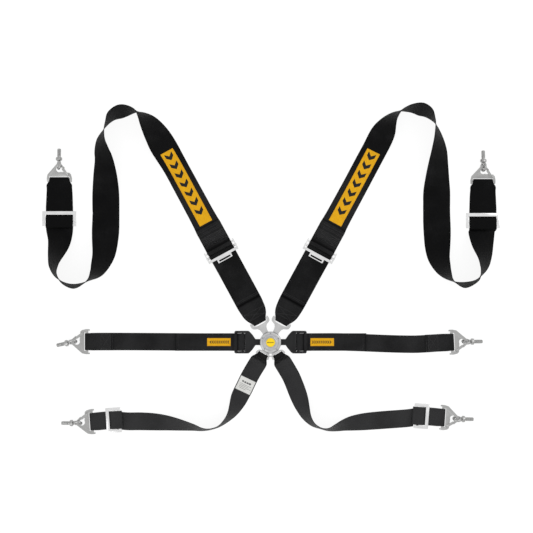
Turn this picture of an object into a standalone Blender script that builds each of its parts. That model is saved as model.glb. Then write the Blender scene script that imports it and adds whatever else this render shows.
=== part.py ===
"""Six-point racing harness, laid flat: two shoulder, two lap and two leg straps on one cam-lock buckle.

Metres, +Z up. The origin is the middle of the buckle's back face, which lies on the surface that the harness lies on.
Each strap is modelled in its own frame: x outward along the strap, y across it, z up.
"""

import math

import bmesh
import bpy
from mathutils import Euler, Matrix, Vector

MM = 0.001

# Webbing
SHOULDER_WIDTH = 76 * MM
CHEST_WIDTH = 70 * MM
LAP_WIDTH = 49 * MM
LEG_WIDTH = 50 * MM
WEB_THICK = 1.6 * MM
WEB_REST = 0.95 * MM  # height of the middle of a strap that lies flat
PATCH_THICK = 0.8 * MM
PATCH_LIFT = WEB_THICK / 2 + 0.35 * MM + PATCH_THICK / 2
TWISTED_LIFT = PATCH_LIFT + 1.0 * MM
CURVE_CUTS = 3
TAG_SIDE = "left"
TAG_SPAN = (118 * MM, 162 * MM)
TAG_WIDTH = 45 * MM

# Buckle
BASE_RADIUS = 29 * MM
BASE_THICK = 3 * MM
TAB_THICK = 2.6 * MM
HOUSING_RADIUS = 30 * MM
HOUSING_TOP = 20 * MM
HOUSING_FLOOR = 3.3 * MM
KNOB_RADIUS = 17.5 * MM
KNOB_TOP = 25.5 * MM
BADGE_RADIUS = 12.3 * MM
PIN_CIRCLE = 19 * MM
PIN_RADIUS = 2.5 * MM
PIN_LIFT = 5 * MM
PIN_FOOT = 3.4 * MM
PIN_LENGTH = 6.6 * MM
BLADE_LOW = 5 * MM
BLADE_HIGH = 8 * MM
BLADE_HALF = 8.5 * MM

# Where each strap leaves the buckle, in degrees anticlockwise from +X
SHOULDER_ANGLE = {"left": 118.5, "right": 61.5}
LAP_ANGLE = {"left": 180.0, "right": 0.0}
LEG_ANGLE = {"left": 238.5, "right": 301.0}

# End fittings: where the strap folds round its anchor plate, and which way the plate points
SHOULDER_END = {"left": (-590.5, 461.7, 90.0), "right": (594.0, 456.5, 90.0)}
LAP_END = {"left": (-519.7, 1.2, 180.0), "right": (513.5, 0.0, 3.0)}
LEG_END = {"left": (-505.7, -223.0, 184.0), "right": (488.3, -211.5, -4.0)}
BOLT_YAW = {
    "shoulder_left": 0.0,
    "shoulder_right": 0.0,
    "lap_left": 13.0,
    "lap_right": -3.0,
    "leg_left": -3.0,
    "leg_right": 2.0,
}
SLIDE_FROM_FOLD = {"shoulder": 117 * MM, "leg": 67 * MM}

# Anchor plate, in its own plane from the middle of the bar that the strap goes round
PLATE_THICK = 3 * MM
PLATE_BAR_X = -6.5 * MM
PLATE_BAR_Z = 4.2 * MM
PLATE_PITCH = 13.0
HOOK_CENTRE = 28 * MM
HOOK_RADIUS = 8.2 * MM
GATE_PIVOT = (11 * MM, -24 * MM)
GATE_REACH = 24 * MM
GATE_ANGLE = 34.0
GATE_THICK = 2.2 * MM
GATE_HALF = 3.5 * MM

# Eye bolt, from the middle of its eye along its shank
EYE_FROM_BAR = 40.3 * MM
EYE_RADIUS = 10.2 * MM
EYE_WIRE = 3.6 * MM
EYE_LEAN = 24.0
BOLT_PITCH = 6.5
COLLAR_RADIUS = 9 * MM
COLLAR_START = 14 * MM
COLLAR_END = 22 * MM
SHANK_RADIUS = 5.3 * MM
SHANK_END = 46 * MM

# Three-bar slide
SLIDE_LENGTH = 42 * MM
SLIDE_LOW = 4.2 * MM
SLIDE_HIGH = 7.2 * MM
SHOULDER_SLIDE_WIDTH = 95 * MM
LEG_SLIDE_WIDTH = 70 * MM

# Shoulder adjuster, in distances from the buckle
LOCK_X = 287 * MM
LOCK_Z = 6 * MM
LOCK_RADIUS = 3.2 * MM
ADJUSTER_HALF = 46.5 * MM
FLANGE_THICK = 3 * MM

# Lap adjuster
LAP_LOCK_X = 77.5 * MM
LAP_LOCK_Z = 6.5 * MM
LAP_LOCK_RADIUS = 3.3 * MM
LAP_FRAME_HALF = 31.5 * MM

FINISHES = {
    "webbing": ((0.012, 0.012, 0.013), 0.85, 0.0),
    "label": ((0.85, 0.44, 0.02), 0.6, 0.0),
    "tag": ((0.8, 0.8, 0.78), 0.6, 0.0),
    "steel": ((0.62, 0.62, 0.61), 0.35, 1.0),
    "alloy": ((0.7, 0.7, 0.7), 0.4, 1.0),
    "black_steel": ((0.02, 0.02, 0.02), 0.4, 0.3),
    "badge": ((0.9, 0.7, 0.03), 0.4, 0.0),
}


def clear_scene():
    for obj in list(bpy.data.objects):
        bpy.data.objects.remove(obj, do_unlink=True)


def finish(name):
    """The material of that name, made the first time it is asked for."""
    material = bpy.data.materials.get(name)
    if material:
        return material
    colour, roughness, metallic = FINISHES[name]
    material = bpy.data.materials.new(name)
    material.use_nodes = True
    shader = material.node_tree.nodes["Principled BSDF"]
    shader.inputs["Base Color"].default_value = (*colour, 1)
    shader.inputs["Roughness"].default_value = roughness
    shader.inputs["Metallic"].default_value = metallic
    return material


def object_from(bm, name):
    bmesh.ops.recalc_face_normals(bm, faces=bm.faces)
    mesh = bpy.data.meshes.new(name)
    bm.to_mesh(mesh)
    bm.free()
    obj = bpy.data.objects.new(name, mesh)
    bpy.context.scene.collection.objects.link(obj)
    return obj


def prism(outline, low, high, name="prism"):
    """A flat plate with this outline, from one height to another."""
    bm = bmesh.new()
    face = bm.faces.new([bm.verts.new((x, y, low)) for x, y in outline])
    raised = bmesh.ops.extrude_face_region(bm, geom=[face])["geom"]
    moved = [v for v in raised if isinstance(v, bmesh.types.BMVert)]
    bmesh.ops.translate(bm, verts=moved, vec=(0, 0, high - low))
    return object_from(bm, name)


def block(x, y, z):
    """A box, given as its (low, high) along each axis."""
    outline = [(x[0], y[0]), (x[1], y[0]), (x[1], y[1]), (x[0], y[1])]
    return prism(outline, *z)


def arc(centre, radius, start, end, steps):
    """Points on an arc, from one angle in degrees to another."""
    angles = [math.radians(start + (end - start) * i / steps) for i in range(steps + 1)]
    return [(centre[0] + radius * math.cos(a), centre[1] + radius * math.sin(a)) for a in angles]


def disc(radius, low, high, centre=(0, 0), steps=24):
    return prism(arc(centre, radius, 0, 360 - 360 / steps, steps - 1), low, high)


def turned(profile, steps=24, name="turned"):
    """A solid turned round Z from (radius, height) points that run up its outside from the axis."""
    bm = bmesh.new()
    rings = []
    for radius, height in profile:
        if radius == 0:
            rings.append([bm.verts.new((0, 0, height))])
        else:
            circle = arc((0, 0), radius, 0, 360 - 360 / steps, steps - 1)
            rings.append([bm.verts.new((x, y, height)) for x, y in circle])
    closed = profile[0][0] > 0
    for low, high in zip(rings, rings[1:] + rings[:1] if closed else rings[1:]):
        for i in range(steps):
            corners = [low[i % len(low)], low[(i + 1) % len(low)], high[(i + 1) % len(high)], high[i % len(high)]]
            bm.faces.new(list(dict.fromkeys(corners)))
    return object_from(bm, name)


def ring(major, minor, steps=20, sides=8):
    """A round wire bent into a ring, in the XZ plane."""
    obj = turned([(major + x, z) for x, z in arc((0, 0), minor, 0, 360 - 360 / sides, sides - 1)], steps)
    obj.data.transform(Matrix.Rotation(math.radians(90), 4, "X"))
    return obj


def rod(radius, start, end, steps=12):
    """A round bar between two points."""
    start, end = Vector(start), Vector(end)
    obj = disc(radius, 0, (end - start).length, steps=steps)
    turn = (end - start).to_track_quat("Z", "Y").to_matrix().to_4x4()
    obj.data.transform(Matrix.Translation(start) @ turn)
    return obj


def combined(name, base, add=(), cut=()):
    """One solid from a base, what is joined to it and what is cut from it."""
    for others, operation in ((add, "UNION"), (cut, "DIFFERENCE")):
        for other in others:
            modifier = base.modifiers.new(operation, "BOOLEAN")
            modifier.operation = operation
            modifier.object = other
    bpy.context.view_layer.update()
    evaluated = base.evaluated_get(bpy.context.evaluated_depsgraph_get())
    mesh = bpy.data.meshes.new_from_object(evaluated)
    base.modifiers.clear()
    base.data = mesh
    base.name = name
    mesh.name = name
    for other in (*add, *cut):
        bpy.data.objects.remove(other, do_unlink=True)
    return base


def dressed(obj, name, material, place=None, sharp=35):
    """Names a solid, gives it its finish and smooth shading, and sets it in its place."""
    obj.name = name
    obj.data.name = name
    obj.data.materials.clear()
    obj.data.materials.append(finish(material))
    obj.data.shade_smooth()
    obj.data.set_sharp_from_angle(angle=math.radians(sharp))
    if place is not None:
        obj.matrix_world = place
    return obj


def moved_origin(obj, point):
    """Puts the object's origin, and so its pivot, at a point of its own frame."""
    obj.data.transform(Matrix.Translation(-Vector(point)))
    obj.matrix_world = obj.matrix_world @ Matrix.Translation(point)
    return obj


def place_at(x, y, angle):
    return Matrix.Translation((x, y, 0)) @ Matrix.Rotation(math.radians(angle), 4, "Z")


def end_place(end):
    return place_at(end[0] * MM, end[1] * MM, end[2])


# Webbing. A station is (middle, direction across the strap, width).


def along(place, points, width, sign=1.0):
    """Stations of a strap that runs in the vertical plane of a strap frame, from (x, z) points in millimetres."""
    across = (place.to_3x3() @ Vector((0, sign, 0))).normalized()
    stations = []
    for point in points:
        size = point[2] * MM if len(point) > 2 else width
        stations.append((place @ Vector((point[0] * MM, 0, point[1] * MM)), across, size))
    return stations


def rolled(route, width, side=1.0):
    """Stations of a strap laid on the surface, from (x, y, roll) in millimetres and degrees.

    The roll lifts the left edge. A strap that stands on its edge keeps that edge on the surface.
    """
    points = [Vector((x * MM, y * MM, 0)) for x, y, _ in route]
    stations = []
    for i, (_, _, roll) in enumerate(route):
        heading = points[min(i + 1, len(points) - 1)] - points[max(i - 1, 0)]
        left = Vector((-heading.y, heading.x, 0)).normalized()
        angle = math.radians(roll) * side
        across = left * math.cos(angle) + Vector((0, 0, math.sin(angle)))
        height = WEB_REST + abs(math.sin(angle)) * width / 2
        stations.append((points[i] + Vector((0, 0, height)), across, width))
    return stations


def spline(a, b, c, d, t):
    return 0.5 * (2 * b + (c - a) * t + (2 * a - 5 * b + 4 * c - d) * t * t + (3 * b - a - 3 * c + d) * t**3)


def smoothed(stations, cuts=CURVE_CUTS):
    """The same run with a smooth curve through its stations."""
    result = []
    last = len(stations) - 1
    for i in range(last):
        four = [stations[max(i - 1, 0)], stations[i], stations[i + 1], stations[min(i + 2, last)]]
        for step in range(cuts):
            middle, across, width = (spline(*(s[k] for s in four), step / cuts) for k in range(3))
            result.append((middle, across.normalized(), width))
    return [*result, stations[last]]


def normals_of(stations):
    normals = []
    for i, (_, across, _) in enumerate(stations):
        before, after = stations[max(i - 1, 0)][0], stations[min(i + 1, len(stations) - 1)][0]
        normals.append((after - before).cross(across).normalized())
    return normals


def ribbon(name, stations, material="webbing", thick=WEB_THICK, lift=0.0):
    """One closed strap through its stations, lifted off them along its own normal.

    Above and below are split along the same diagonals, so a twisted strap keeps its thickness.
    """
    bm = bmesh.new()
    rings = []
    for (middle, across, width), normal in zip(stations, normals_of(stations)):
        low = [middle + across * width * share + normal * (lift - thick / 2) for share in (-0.5, 0, 0.5)]
        high = [point + normal * thick for point in reversed(low)]
        rings.append([bm.verts.new(point) for point in (*low, *high)])
    for first, second in zip(rings, rings[1:]):
        for k in range(6):
            a, b, c, d = first[k], first[(k + 1) % 6], second[(k + 1) % 6], second[k]
            for corners in ((a, b, c), (a, c, d)) if k < 3 else ((a, b, d), (b, c, d)):
                bm.faces.new(corners)
    bm.faces.new(rings[0])
    bm.faces.new(rings[-1])
    return dressed(object_from(bm, name), name, material, sharp=50)


def anchor_fold(width, gathered):
    """The strap's way round the bar of an anchor plate, from above it to below it, as (x, z, width)."""
    wide = width / MM
    narrow = gathered / MM
    return [
        (-34, 4.6, wide),
        (-22, 6.2, wide),
        (-12, 7.8, (wide + 3 * narrow) / 4),
        (-4.5, 8.5, narrow),
        (-1.9, 7.1, narrow),
        (-1.2, 4.9, narrow),
        (-2.0, 2.5, narrow),
        (-4.8, 1.2, narrow),
        (-12, 0.95, (wide + 3 * narrow) / 4),
        (-34, 0.95, wide),
    ]


def slide_tail(distance):
    """The strap's end under a three-bar slide, round its inner bar, over the middle one and under the outer one."""
    x = -distance / MM
    return [
        (x + 2, 3.0),
        (x - 12, 3.0),
        (x - 20, 3.0),
        (x - 23, 3.5),
        (x - 24.2, 5.7),
        (x - 23, 7.9),
        (x - 20, 8.4),
        (x - 8, 8.4),
        (x + 4.2, 8.4),
        (x + 5.6, 7.6),
        (x + 7.5, 5.7),
        (x + 9.4, 3.8),
        (x + 10.8, 3.0),
        (x + 23, 3.0),
        (x + 33, 3.4),
    ]


SHOULDER_ROUTE = {
    "left": [
        (-590, 277, 27), (-600, 234, 52), (-602, 212, 62), (-595, 187, 76), (-572, 165, 90),
        (-539, 157, 99), (-504, 173, 90), (-486, 190, 72), (-475, 210, 58), (-464, 243, 42), (-461, 285, 24),
        (-461, 341, 0), (-461, 397, 0), (-461, 453, -19), (-464, 509, -42), (-470, 537, -53), (-471, 565, -66),
        (-463, 590, -80), (-453, 610, -90), (-441, 628, -103), (-419, 640, -112), (-399, 644, -107),
        (-374, 643, -90), (-357, 632, -72), (-340, 614, -52), (-319, 582, -30), (-300, 548, -14), (-270, 497, 0),
        (-235, 433, 0),
    ],
    "right": [
        (590, 306, -8), (591, 271, -30), (595, 238, -50), (593, 213, -62), (585, 192, -76), (570, 172, -90),
        (534, 160, -101), (503, 172, -90), (487, 190, -73), (477, 208, -60), (468, 233, -46), (465, 262, -32),
        (465, 300, -18), (465, 355, 0), (465, 408, 0), (465, 453, 21), (467, 497, 37), (469, 537, 50), (466, 572, 65),
        (459, 604, 80), (451, 620, 90), (438, 637, 104), (418, 647, 111), (393, 650, 102), (367, 646, 90),
        (352, 639, 80), (337, 626, 68), (325, 609, 52), (314, 586, 32), (295, 546, 8), (268, 495, 0), (235, 433, 0),
    ],
}
LEG_ROUTE = {
    "left": [
        (-60, -100, 0), (-73, -127, 0), (-86, -153, -12), (-96, -177, -38), (-107, -198, -57), (-122, -216, -71),
        (-143, -233, -80), (-167, -241, -80), (-189, -242, -74), (-212, -237, -63), (-240, -232, -50), (-282, -226, -30),
        (-324, -223, -11), (-366, -222, 0), (-400, -222, 0),
    ],
    "right": [
        (58, -98, 0), (70, -127, 2), (81, -157, 18), (91, -186, 42), (102, -210, 60), (119, -229, 73),
        (141, -239, 80), (161, -242, 74), (180, -238, 61), (203, -231, 45), (228, -226, 28), (267, -222, 10),
        (320, -218, 0), (385, -213, 0),
    ],
}


def shoulder_webbing(side):
    """The long rear strap, from the tail under its slide to the sewn loop on the adjuster's rear bar."""
    end = end_place(SHOULDER_END[side])
    chest = place_at(0, 0, SHOULDER_ANGLE[side])
    slide = along(end, slide_tail(SLIDE_FROM_FOLD["shoulder"]), SHOULDER_WIDTH, -1)
    fold = along(end, anchor_fold(71 * MM, 54 * MM), SHOULDER_WIDTH, -1)
    under = along(end, [(-117, 0.95), (-142, 0.95)], SHOULDER_WIDTH, -1)
    route = rolled(SHOULDER_ROUTE[side], SHOULDER_WIDTH)
    loop = [
        (410, 0.95, 71), (378, 0.95, 73), (366, 1.4), (352, 3.1), (325, 3.3), (314, 6.0), (305, 9.6), (299.5, 10.4),
        (295.6, 8.9), (294.7, 6.0), (295.7, 3.0), (299.5, 1.5), (306, 1.1), (350, 1.1),
    ]
    chest_run = along(chest, loop, 75 * MM, -1)
    slope = [(m, a, CHEST_WIDTH if m.y > 0.4 and abs(m.x) < 0.3 else w) for m, a, w in route]
    return slide, fold, smoothed([*under, *slope, chest_run[0]]), chest_run[1:]


def make_shoulder_webbing(side):
    slide, fold, run, loop = shoulder_webbing(side)
    ribbon(f"shoulder_webbing_{side}", [*slide, *fold, *run, *loop])
    chest = place_at(0, 0, SHOULDER_ANGLE[side]).inverted()
    covered = [s for s in run if 0.374 < (chest @ s[0]).x < 0.608 and abs((chest @ s[0]).y) < 0.04]
    patch = [(middle, across, 39 * MM) for middle, across, _ in covered]
    ribbon(f"shoulder_label_{side}", patch, "label", PATCH_THICK, TWISTED_LIFT)


def make_chest_webbing(side):
    """The short front strap: sewn on the tongue, up to the adjuster, round its lock bar and back as the loose tail."""
    place = place_at(0, 0, SHOULDER_ANGLE[side])
    points = [
        (104, 1.0, 68), (82, 1.6, 60), (72, 2.8, 48), (65, 3.3, 39), (61.6, 4.3, 38), (60.6, 6.5, 38), (61.6, 8.7, 38),
        (65, 9.7, 39), (72, 8.6, 48), (82, 5.0, 60), (94, 3.3, 68), (106, 3.0, 71), (116, 1.3, 73), (126, 0.95),
        (265, 0.95), (280, 1.3), (284, 1.5), (288.5, 1.8), (291.3, 4.0), (292, 6.5), (290.8, 9.0), (287.5, 10.5),
        (283, 10.5), (272, 10.3), (262, 9.2), (248, 5.6), (236, 3.5), (222, 3.0), (132, 3.0),
    ]
    ribbon(f"chest_webbing_{side}", along(place, points, 74 * MM))


def make_lap_webbing(side):
    place = place_at(0, 0, LAP_ANGLE[side])
    end = end_place(LAP_END[side])
    points = [
        (268, 3.0), (130, 3.0), (118, 3.4), (108, 6.0), (101, 9.1), (95, 9.6), (88, 10.4), (82, 11.1), (77, 11.0),
        (73.5, 9.0), (72.8, 6.5), (73.5, 4.1), (77, 2.0), (82, 1.7), (94, 1.2), (110, 0.95), (200, 0.95),
    ]
    start = along(place, points, LAP_WIDTH)
    fold = along(end, [(-80, 3.0), *anchor_fold(LAP_WIDTH, 47 * MM)], LAP_WIDTH)
    far = along(end, [(-120, 0.95)], LAP_WIDTH)
    ribbon(f"lap_webbing_{side}", [*start, *far, *reversed(fold)])
    patch = along(place, [(109, 5.75), (118, 3.4), (130, 3.0), (179, 3.0)], 22 * MM)
    ribbon(f"lap_label_{side}", patch, "label", PATCH_THICK, PATCH_LIFT)


def make_leg_webbing(side):
    """The leg strap: sewn round its tongue, through its anchor plate and back through its slide. Its tag lies on it."""
    place = place_at(0, 0, LEG_ANGLE[side])
    end = end_place(LEG_END[side])
    points = [
        (78, 1.0), (62, 1.4, 48), (50, 2.9, 36), (44, 3.7, 30), (39.4, 4.3, 30), (38.2, 6.5, 30), (39.4, 8.9, 30),
        (44, 9.7, 30), (50, 9.0, 36), (60, 6.0, 48), (70, 3.4), (80, 3.0), (90, 1.4),
    ]
    start = along(place, points, LEG_WIDTH)
    route = rolled(LEG_ROUTE[side], LEG_WIDTH)
    under = along(end, [(-67, 0.95)], LEG_WIDTH)
    fold = along(end, anchor_fold(LEG_WIDTH, 48 * MM), LEG_WIDTH)
    slide = along(end, slide_tail(SLIDE_FROM_FOLD["leg"])[:-1], LEG_WIDTH)
    run = smoothed([start[-1], *route, *under])
    ribbon(f"leg_webbing_{side}", [*start[:-1], *run, *reversed(fold), *reversed(slide)])
    if side == TAG_SIDE:
        covered = [s for s in run if TAG_SPAN[0] < s[0].length < TAG_SPAN[1]]
        patch = [(middle, across, TAG_WIDTH) for middle, across, _ in covered]
        ribbon(f"leg_tag_{side}", patch, "tag", PATCH_THICK, TWISTED_LIFT)


# Buckle


def make_buckle():
    angles = [*SHOULDER_ANGLE.values(), *LAP_ANGLE.values(), *LEG_ANGLE.values()]
    left_corner = arc((-9 * MM, -37.7 * MM), 4 * MM, 180, 270, 3)
    right_corner = arc((9 * MM, -37.7 * MM), 4 * MM, 270, 360, 3)
    tab = [(-13 * MM, -20 * MM), *left_corner, *right_corner, (13 * MM, -20 * MM)]
    slot = block((-3.2 * MM, 3.2 * MM), (-38.5 * MM, -33 * MM), (-MM, 9 * MM))
    base = disc(BASE_RADIUS, 0, BASE_THICK, steps=48)
    dressed(combined("buckle_base", base, [prism(tab, 0, TAB_THICK)], [slot]), "buckle_base", "alloy")

    inner = HOUSING_RADIUS - 3.5 * MM
    shell = turned(
        [
            (inner, HOUSING_FLOOR), (HOUSING_RADIUS, HOUSING_FLOOR), (HOUSING_RADIUS, 17 * MM),
            (HOUSING_RADIUS - 3 * MM, HOUSING_TOP), (14.8 * MM, HOUSING_TOP), (14.8 * MM, 16 * MM), (inner, 16 * MM),
        ],
        48,
    )
    windows = []
    for angle in angles:
        half = BLADE_HALF + 1.2 * MM
        window = block((20 * MM, 34 * MM), (-half, half), (BLADE_LOW - 0.4 * MM, BLADE_HIGH + 0.4 * MM))
        window.matrix_world = place_at(0, 0, angle)
        windows.append(window)
    dressed(combined("buckle_housing", shell, (), windows), "buckle_housing", "alloy")

    grip = []
    for i in range(48):
        angle = math.radians(7.5 * i)
        radius = KNOB_RADIUS * (1 + 0.05 * math.cos(6 * angle))
        grip.append((radius * math.cos(angle), radius * math.sin(angle)))
    cap = prism(grip, HOUSING_TOP + 0.4 * MM, KNOB_TOP)
    neck = disc(14 * MM, 13.4 * MM, HOUSING_TOP + 2 * MM, steps=32)
    bore = disc(4.4 * MM, 13 * MM, 20.4 * MM)
    seat = disc(BADGE_RADIUS + 0.4 * MM, KNOB_TOP - MM, KNOB_TOP + MM, steps=32)
    dressed(combined("release_knob", cap, [neck], [bore, seat]), "release_knob", "alloy")
    dressed(disc(BADGE_RADIUS, KNOB_TOP - 0.7 * MM, KNOB_TOP + 0.4 * MM, steps=32), "knob_badge", "badge")

    star = []
    for i in range(12):
        radius = 14 * MM if i % 2 else 11 * MM
        star.append((radius * math.cos(math.radians(30 * i)), radius * math.sin(math.radians(30 * i))))
    cam = combined("cam_disc", prism(star, 9.4 * MM, 13 * MM), (), [disc(4.4 * MM, 9 * MM, 14 * MM)])
    dressed(cam, "cam_disc", "steel")
    stem = [(0, 3.4), (7, 3.4), (7, 4.6), (4, 4.6), (4, 20), (0, 20)]
    dressed(turned([(r * MM, z * MM) for r, z in stem]), "pivot_bolt", "steel")
    spring = turned([(5 * MM, 5 * MM), (7.4 * MM, 5 * MM), (7.4 * MM, 9 * MM), (5 * MM, 9 * MM)])
    dressed(spring, "knob_spring", "steel")

    for name, angle in latch_angles().items():
        pin = disc(PIN_RADIUS, 0, PIN_LENGTH, steps=16)
        place = place_at(0, 0, angle) @ Matrix.Translation((PIN_CIRCLE, 0, PIN_FOOT))
        dressed(pin, f"latch_pin_{name}", "steel", place)


def latch_angles():
    """The direction of each strap's tongue in the buckle."""
    found = {}
    for kind, angles in (("shoulder", SHOULDER_ANGLE), ("lap", LAP_ANGLE), ("leg", LEG_ANGLE)):
        for side, angle in angles.items():
            found[f"{kind}_{side}"] = angle
    return found


# Tongues and adjusters


def mirrored(half):
    """An outline that is the same on both sides of the strap's middle, from the points on its left side, in mm."""
    other = [(x, -y) for x, y in reversed(half) if y > 0]
    return [(x * MM, y * MM) for x, y in (*half, *other)]


BLADE_OUTLINE = [(12.5, 0), (13.5, 3.5), (17.5, 6.6), (22, 8.5)]


def pin_hole():
    return disc(PIN_RADIUS + 0.4 * MM, 0, 20 * MM, (PIN_CIRCLE, 0), 16)


def make_shoulder_tongue(side):
    place = place_at(0, 0, SHOULDER_ANGLE[side])
    bow = [(36, 8.5), (44, 10.5), (49.5, 15), (51.5, 21), (54.5, 26), (60, 28.5), (68, 28.5), (70.5, 26), (68, 23)]
    outline = mirrored([*BLADE_OUTLINE, *bow])
    window = prism(mirrored([(56, 0), (56.5, 12), (59, 20), (63.4, 21)]), 0, 20 * MM)
    plate = combined("tongue", prism(outline, BLADE_LOW, BLADE_HIGH), (), [pin_hole(), window])
    dressed(plate, f"shoulder_tongue_{side}", "alloy", place)
    moved_origin(plate, (PIN_CIRCLE, 0, 0))


def make_leg_tongue(side):
    place = place_at(0, 0, LEG_ANGLE[side])
    outline = mirrored([*BLADE_OUTLINE, (31, 8.5), (34, 16), (37, 18.5), (42, 20.5), (46, 20.5), (47.5, 17)])
    window = prism(mirrored([(36.2, 0), (36.2, 12), (37.6, 16), (41.6, 16)]), 0, 20 * MM)
    plate = combined("tongue", prism(outline, BLADE_LOW, BLADE_HIGH), (), [pin_hole(), window])
    dressed(plate, f"leg_tongue_{side}", "alloy", place)
    moved_origin(plate, (PIN_CIRCLE, 0, 0))


def make_lap_adjuster(side):
    """The tongue of a lap strap, which widens into the frame that holds its lock bar."""
    place = place_at(0, 0, LAP_ANGLE[side])
    outline = mirrored([*BLADE_OUTLINE, (42, 8.5), (50, 20), (58, 29), (62, 31.5), (98, 31.5), (101, 28.5)])
    window = block((71.3 * MM, 92 * MM), (-25.4 * MM, 25.4 * MM), (0, 20 * MM))
    rails, slots = [], []
    for low, high in ((25.4, 31.5), (-31.5, -25.4)):
        rails.append(block((66 * MM, 90 * MM), (low * MM, high * MM), (2.4 * MM, 11.2 * MM)))
        slots.append(block((73.8 * MM, 83.8 * MM), ((low - 2) * MM, (high + 2) * MM), (3.0 * MM, 10.0 * MM)))
    frame = combined("frame", prism(outline, BLADE_LOW, BLADE_HIGH), rails, [pin_hole(), window, *slots])
    dressed(frame, f"lap_adjuster_{side}", "black_steel", place)
    moved_origin(frame, (PIN_CIRCLE, 0, 0))
    half = LAP_FRAME_HALF - 0.3 * MM
    bar = rod(LAP_LOCK_RADIUS, (LAP_LOCK_X, -half, LAP_LOCK_Z), (LAP_LOCK_X, half, LAP_LOCK_Z))
    dressed(bar, f"lap_lock_bar_{side}", "black_steel", place)
    moved_origin(bar, (LAP_LOCK_X, 0, LAP_LOCK_Z))


def make_shoulder_adjuster(side):
    place = place_at(0, 0, SHOULDER_ANGLE[side])
    half = ADJUSTER_HALF
    inside = half - FLANGE_THICK
    flanges, slots = [], []
    for low, high in ((inside, half), (-half, -inside)):
        flanges.append(block((272.5 * MM, 306 * MM), (low, high), (1.6 * MM, 14.6 * MM)))
        slots.append(block((281 * MM, 291 * MM), (low - MM, high + MM), (2.6 * MM, 9.4 * MM)))
    front = block((273 * MM, 280 * MM), (-half + MM, half - MM), (11.7 * MM, 14.5 * MM))
    rear = block((297 * MM, 302 * MM), (-half + MM, half - MM), (3.4 * MM, 8.6 * MM))
    tab = block((262 * MM, 274 * MM), (-22 * MM, 22 * MM), (11.8 * MM, 14.4 * MM))
    tab_slot = block((264.6 * MM, 269.4 * MM), (-17.5 * MM, 17.5 * MM), (10 * MM, 16 * MM))
    frame = combined("frame", flanges[0], [front, rear, flanges[1], tab], [*slots, tab_slot])
    dressed(frame, f"shoulder_adjuster_{side}", "steel", place)
    bar = rod(LOCK_RADIUS, (LOCK_X, -half - MM, LOCK_Z), (LOCK_X, half + MM, LOCK_Z))
    dressed(bar, f"shoulder_lock_bar_{side}", "steel", place)
    moved_origin(bar, (LOCK_X, 0, LOCK_Z))


# End fittings


def make_slide(name, end, distance, web_width, outer_width):
    """A flat three-bar slide. Its outer bar, nearest the anchor plate, is the one that shows."""
    place = end_place(end) @ Matrix.Translation((-distance, 0, 0))
    half = outer_width / 2
    plate = block((-SLIDE_LENGTH / 2, SLIDE_LENGTH / 2), (-half, half), (SLIDE_LOW, SLIDE_HIGH))
    room = web_width / 2 + 2 * MM
    slots = [block((low * MM, high * MM), (-room, room), (0, 20 * MM)) for low, high in ((-12.5, -4.5), (3.5, 11.5))]
    dressed(combined("slide", plate, (), slots), name, "steel", place)


def plate_place(end):
    """The anchor plate's own plane: it rises from the strap to the eye bolt."""
    rise = Matrix.Rotation(math.radians(-PLATE_PITCH), 4, "Y")
    return end_place(end) @ Matrix.Translation((PLATE_BAR_X, 0, PLATE_BAR_Z)) @ rise


def make_anchor(name, end, slot_half):
    """Anchor plate with its hook, the sprung gate across the hook's mouth, and the eye bolt in the hook."""
    place = plate_place(end)
    side = [(-3.5, 30.5), (-8, 31), (-8, 33.5), (-6.5, 35), (3, 35), (14, 32.5), (30, 18)]
    nose = [(x / MM, y / MM) for x, y in arc((36 * MM, 0), 9.5 * MM, 60, 0, 4)]
    outline = mirrored([*side, *nose])
    plate = prism(outline, -PLATE_THICK / 2, PLATE_THICK / 2)
    slot = block((3.5 * MM, 7.8 * MM), (-slot_half, slot_half), (-5 * MM, 5 * MM))
    hole = disc(HOOK_RADIUS, -5 * MM, 5 * MM, (HOOK_CENTRE, 0))
    mouth = prism([(20.8 * MM, -2 * MM), (18 * MM, -34 * MM), (33 * MM, -34 * MM), (30 * MM, -2 * MM)], -5 * MM, 5 * MM)
    rivet = disc(2 * MM, 0, PLATE_THICK / 2 + GATE_THICK + 0.5 * MM, GATE_PIVOT, 12)
    dressed(combined("plate", plate, [rivet], [slot, hole, mouth]), f"anchor_plate_{name}", "steel", place)

    tail = arc((0, 0), GATE_HALF, 90, 270, 8)
    gate = prism([*tail, (GATE_REACH, -GATE_HALF), (GATE_REACH, GATE_HALF)], 0, GATE_THICK)
    eye = disc(2.25 * MM, -MM, 5 * MM, steps=12)
    lift = PLATE_THICK / 2 + 0.3 * MM
    pivot = place @ Matrix.Translation((*GATE_PIVOT, lift)) @ Matrix.Rotation(math.radians(GATE_ANGLE), 4, "Z")
    dressed(combined("gate", gate, (), [eye]), f"hook_gate_{name}", "steel", pivot)

    centre = place @ Vector((EYE_FROM_BAR, 0, 0))
    turn = Euler((0, math.radians(BOLT_PITCH), math.radians(end[2] + BOLT_YAW[name])), "XYZ").to_matrix().to_4x4()
    lean = Matrix.Rotation(math.radians(EYE_LEAN), 4, "X")
    eye = ring(EYE_RADIUS, EYE_WIRE)
    shank = turned(
        [
            (0, 11 * MM), (6 * MM, 11 * MM), (COLLAR_RADIUS, COLLAR_START), (COLLAR_RADIUS, COLLAR_END - 2 * MM),
            (7 * MM, COLLAR_END), (SHANK_RADIUS, COLLAR_END), (SHANK_RADIUS, SHANK_END - MM),
            (SHANK_RADIUS - MM, SHANK_END), (0, SHANK_END),
        ],
        16,
    )
    shank.data.transform(Matrix.Rotation(math.radians(90), 4, "Y"))
    bolt = combined("bolt", eye, [shank])
    dressed(bolt, f"eye_bolt_{name}", "steel", Matrix.Translation(centre) @ turn @ lean)


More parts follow.
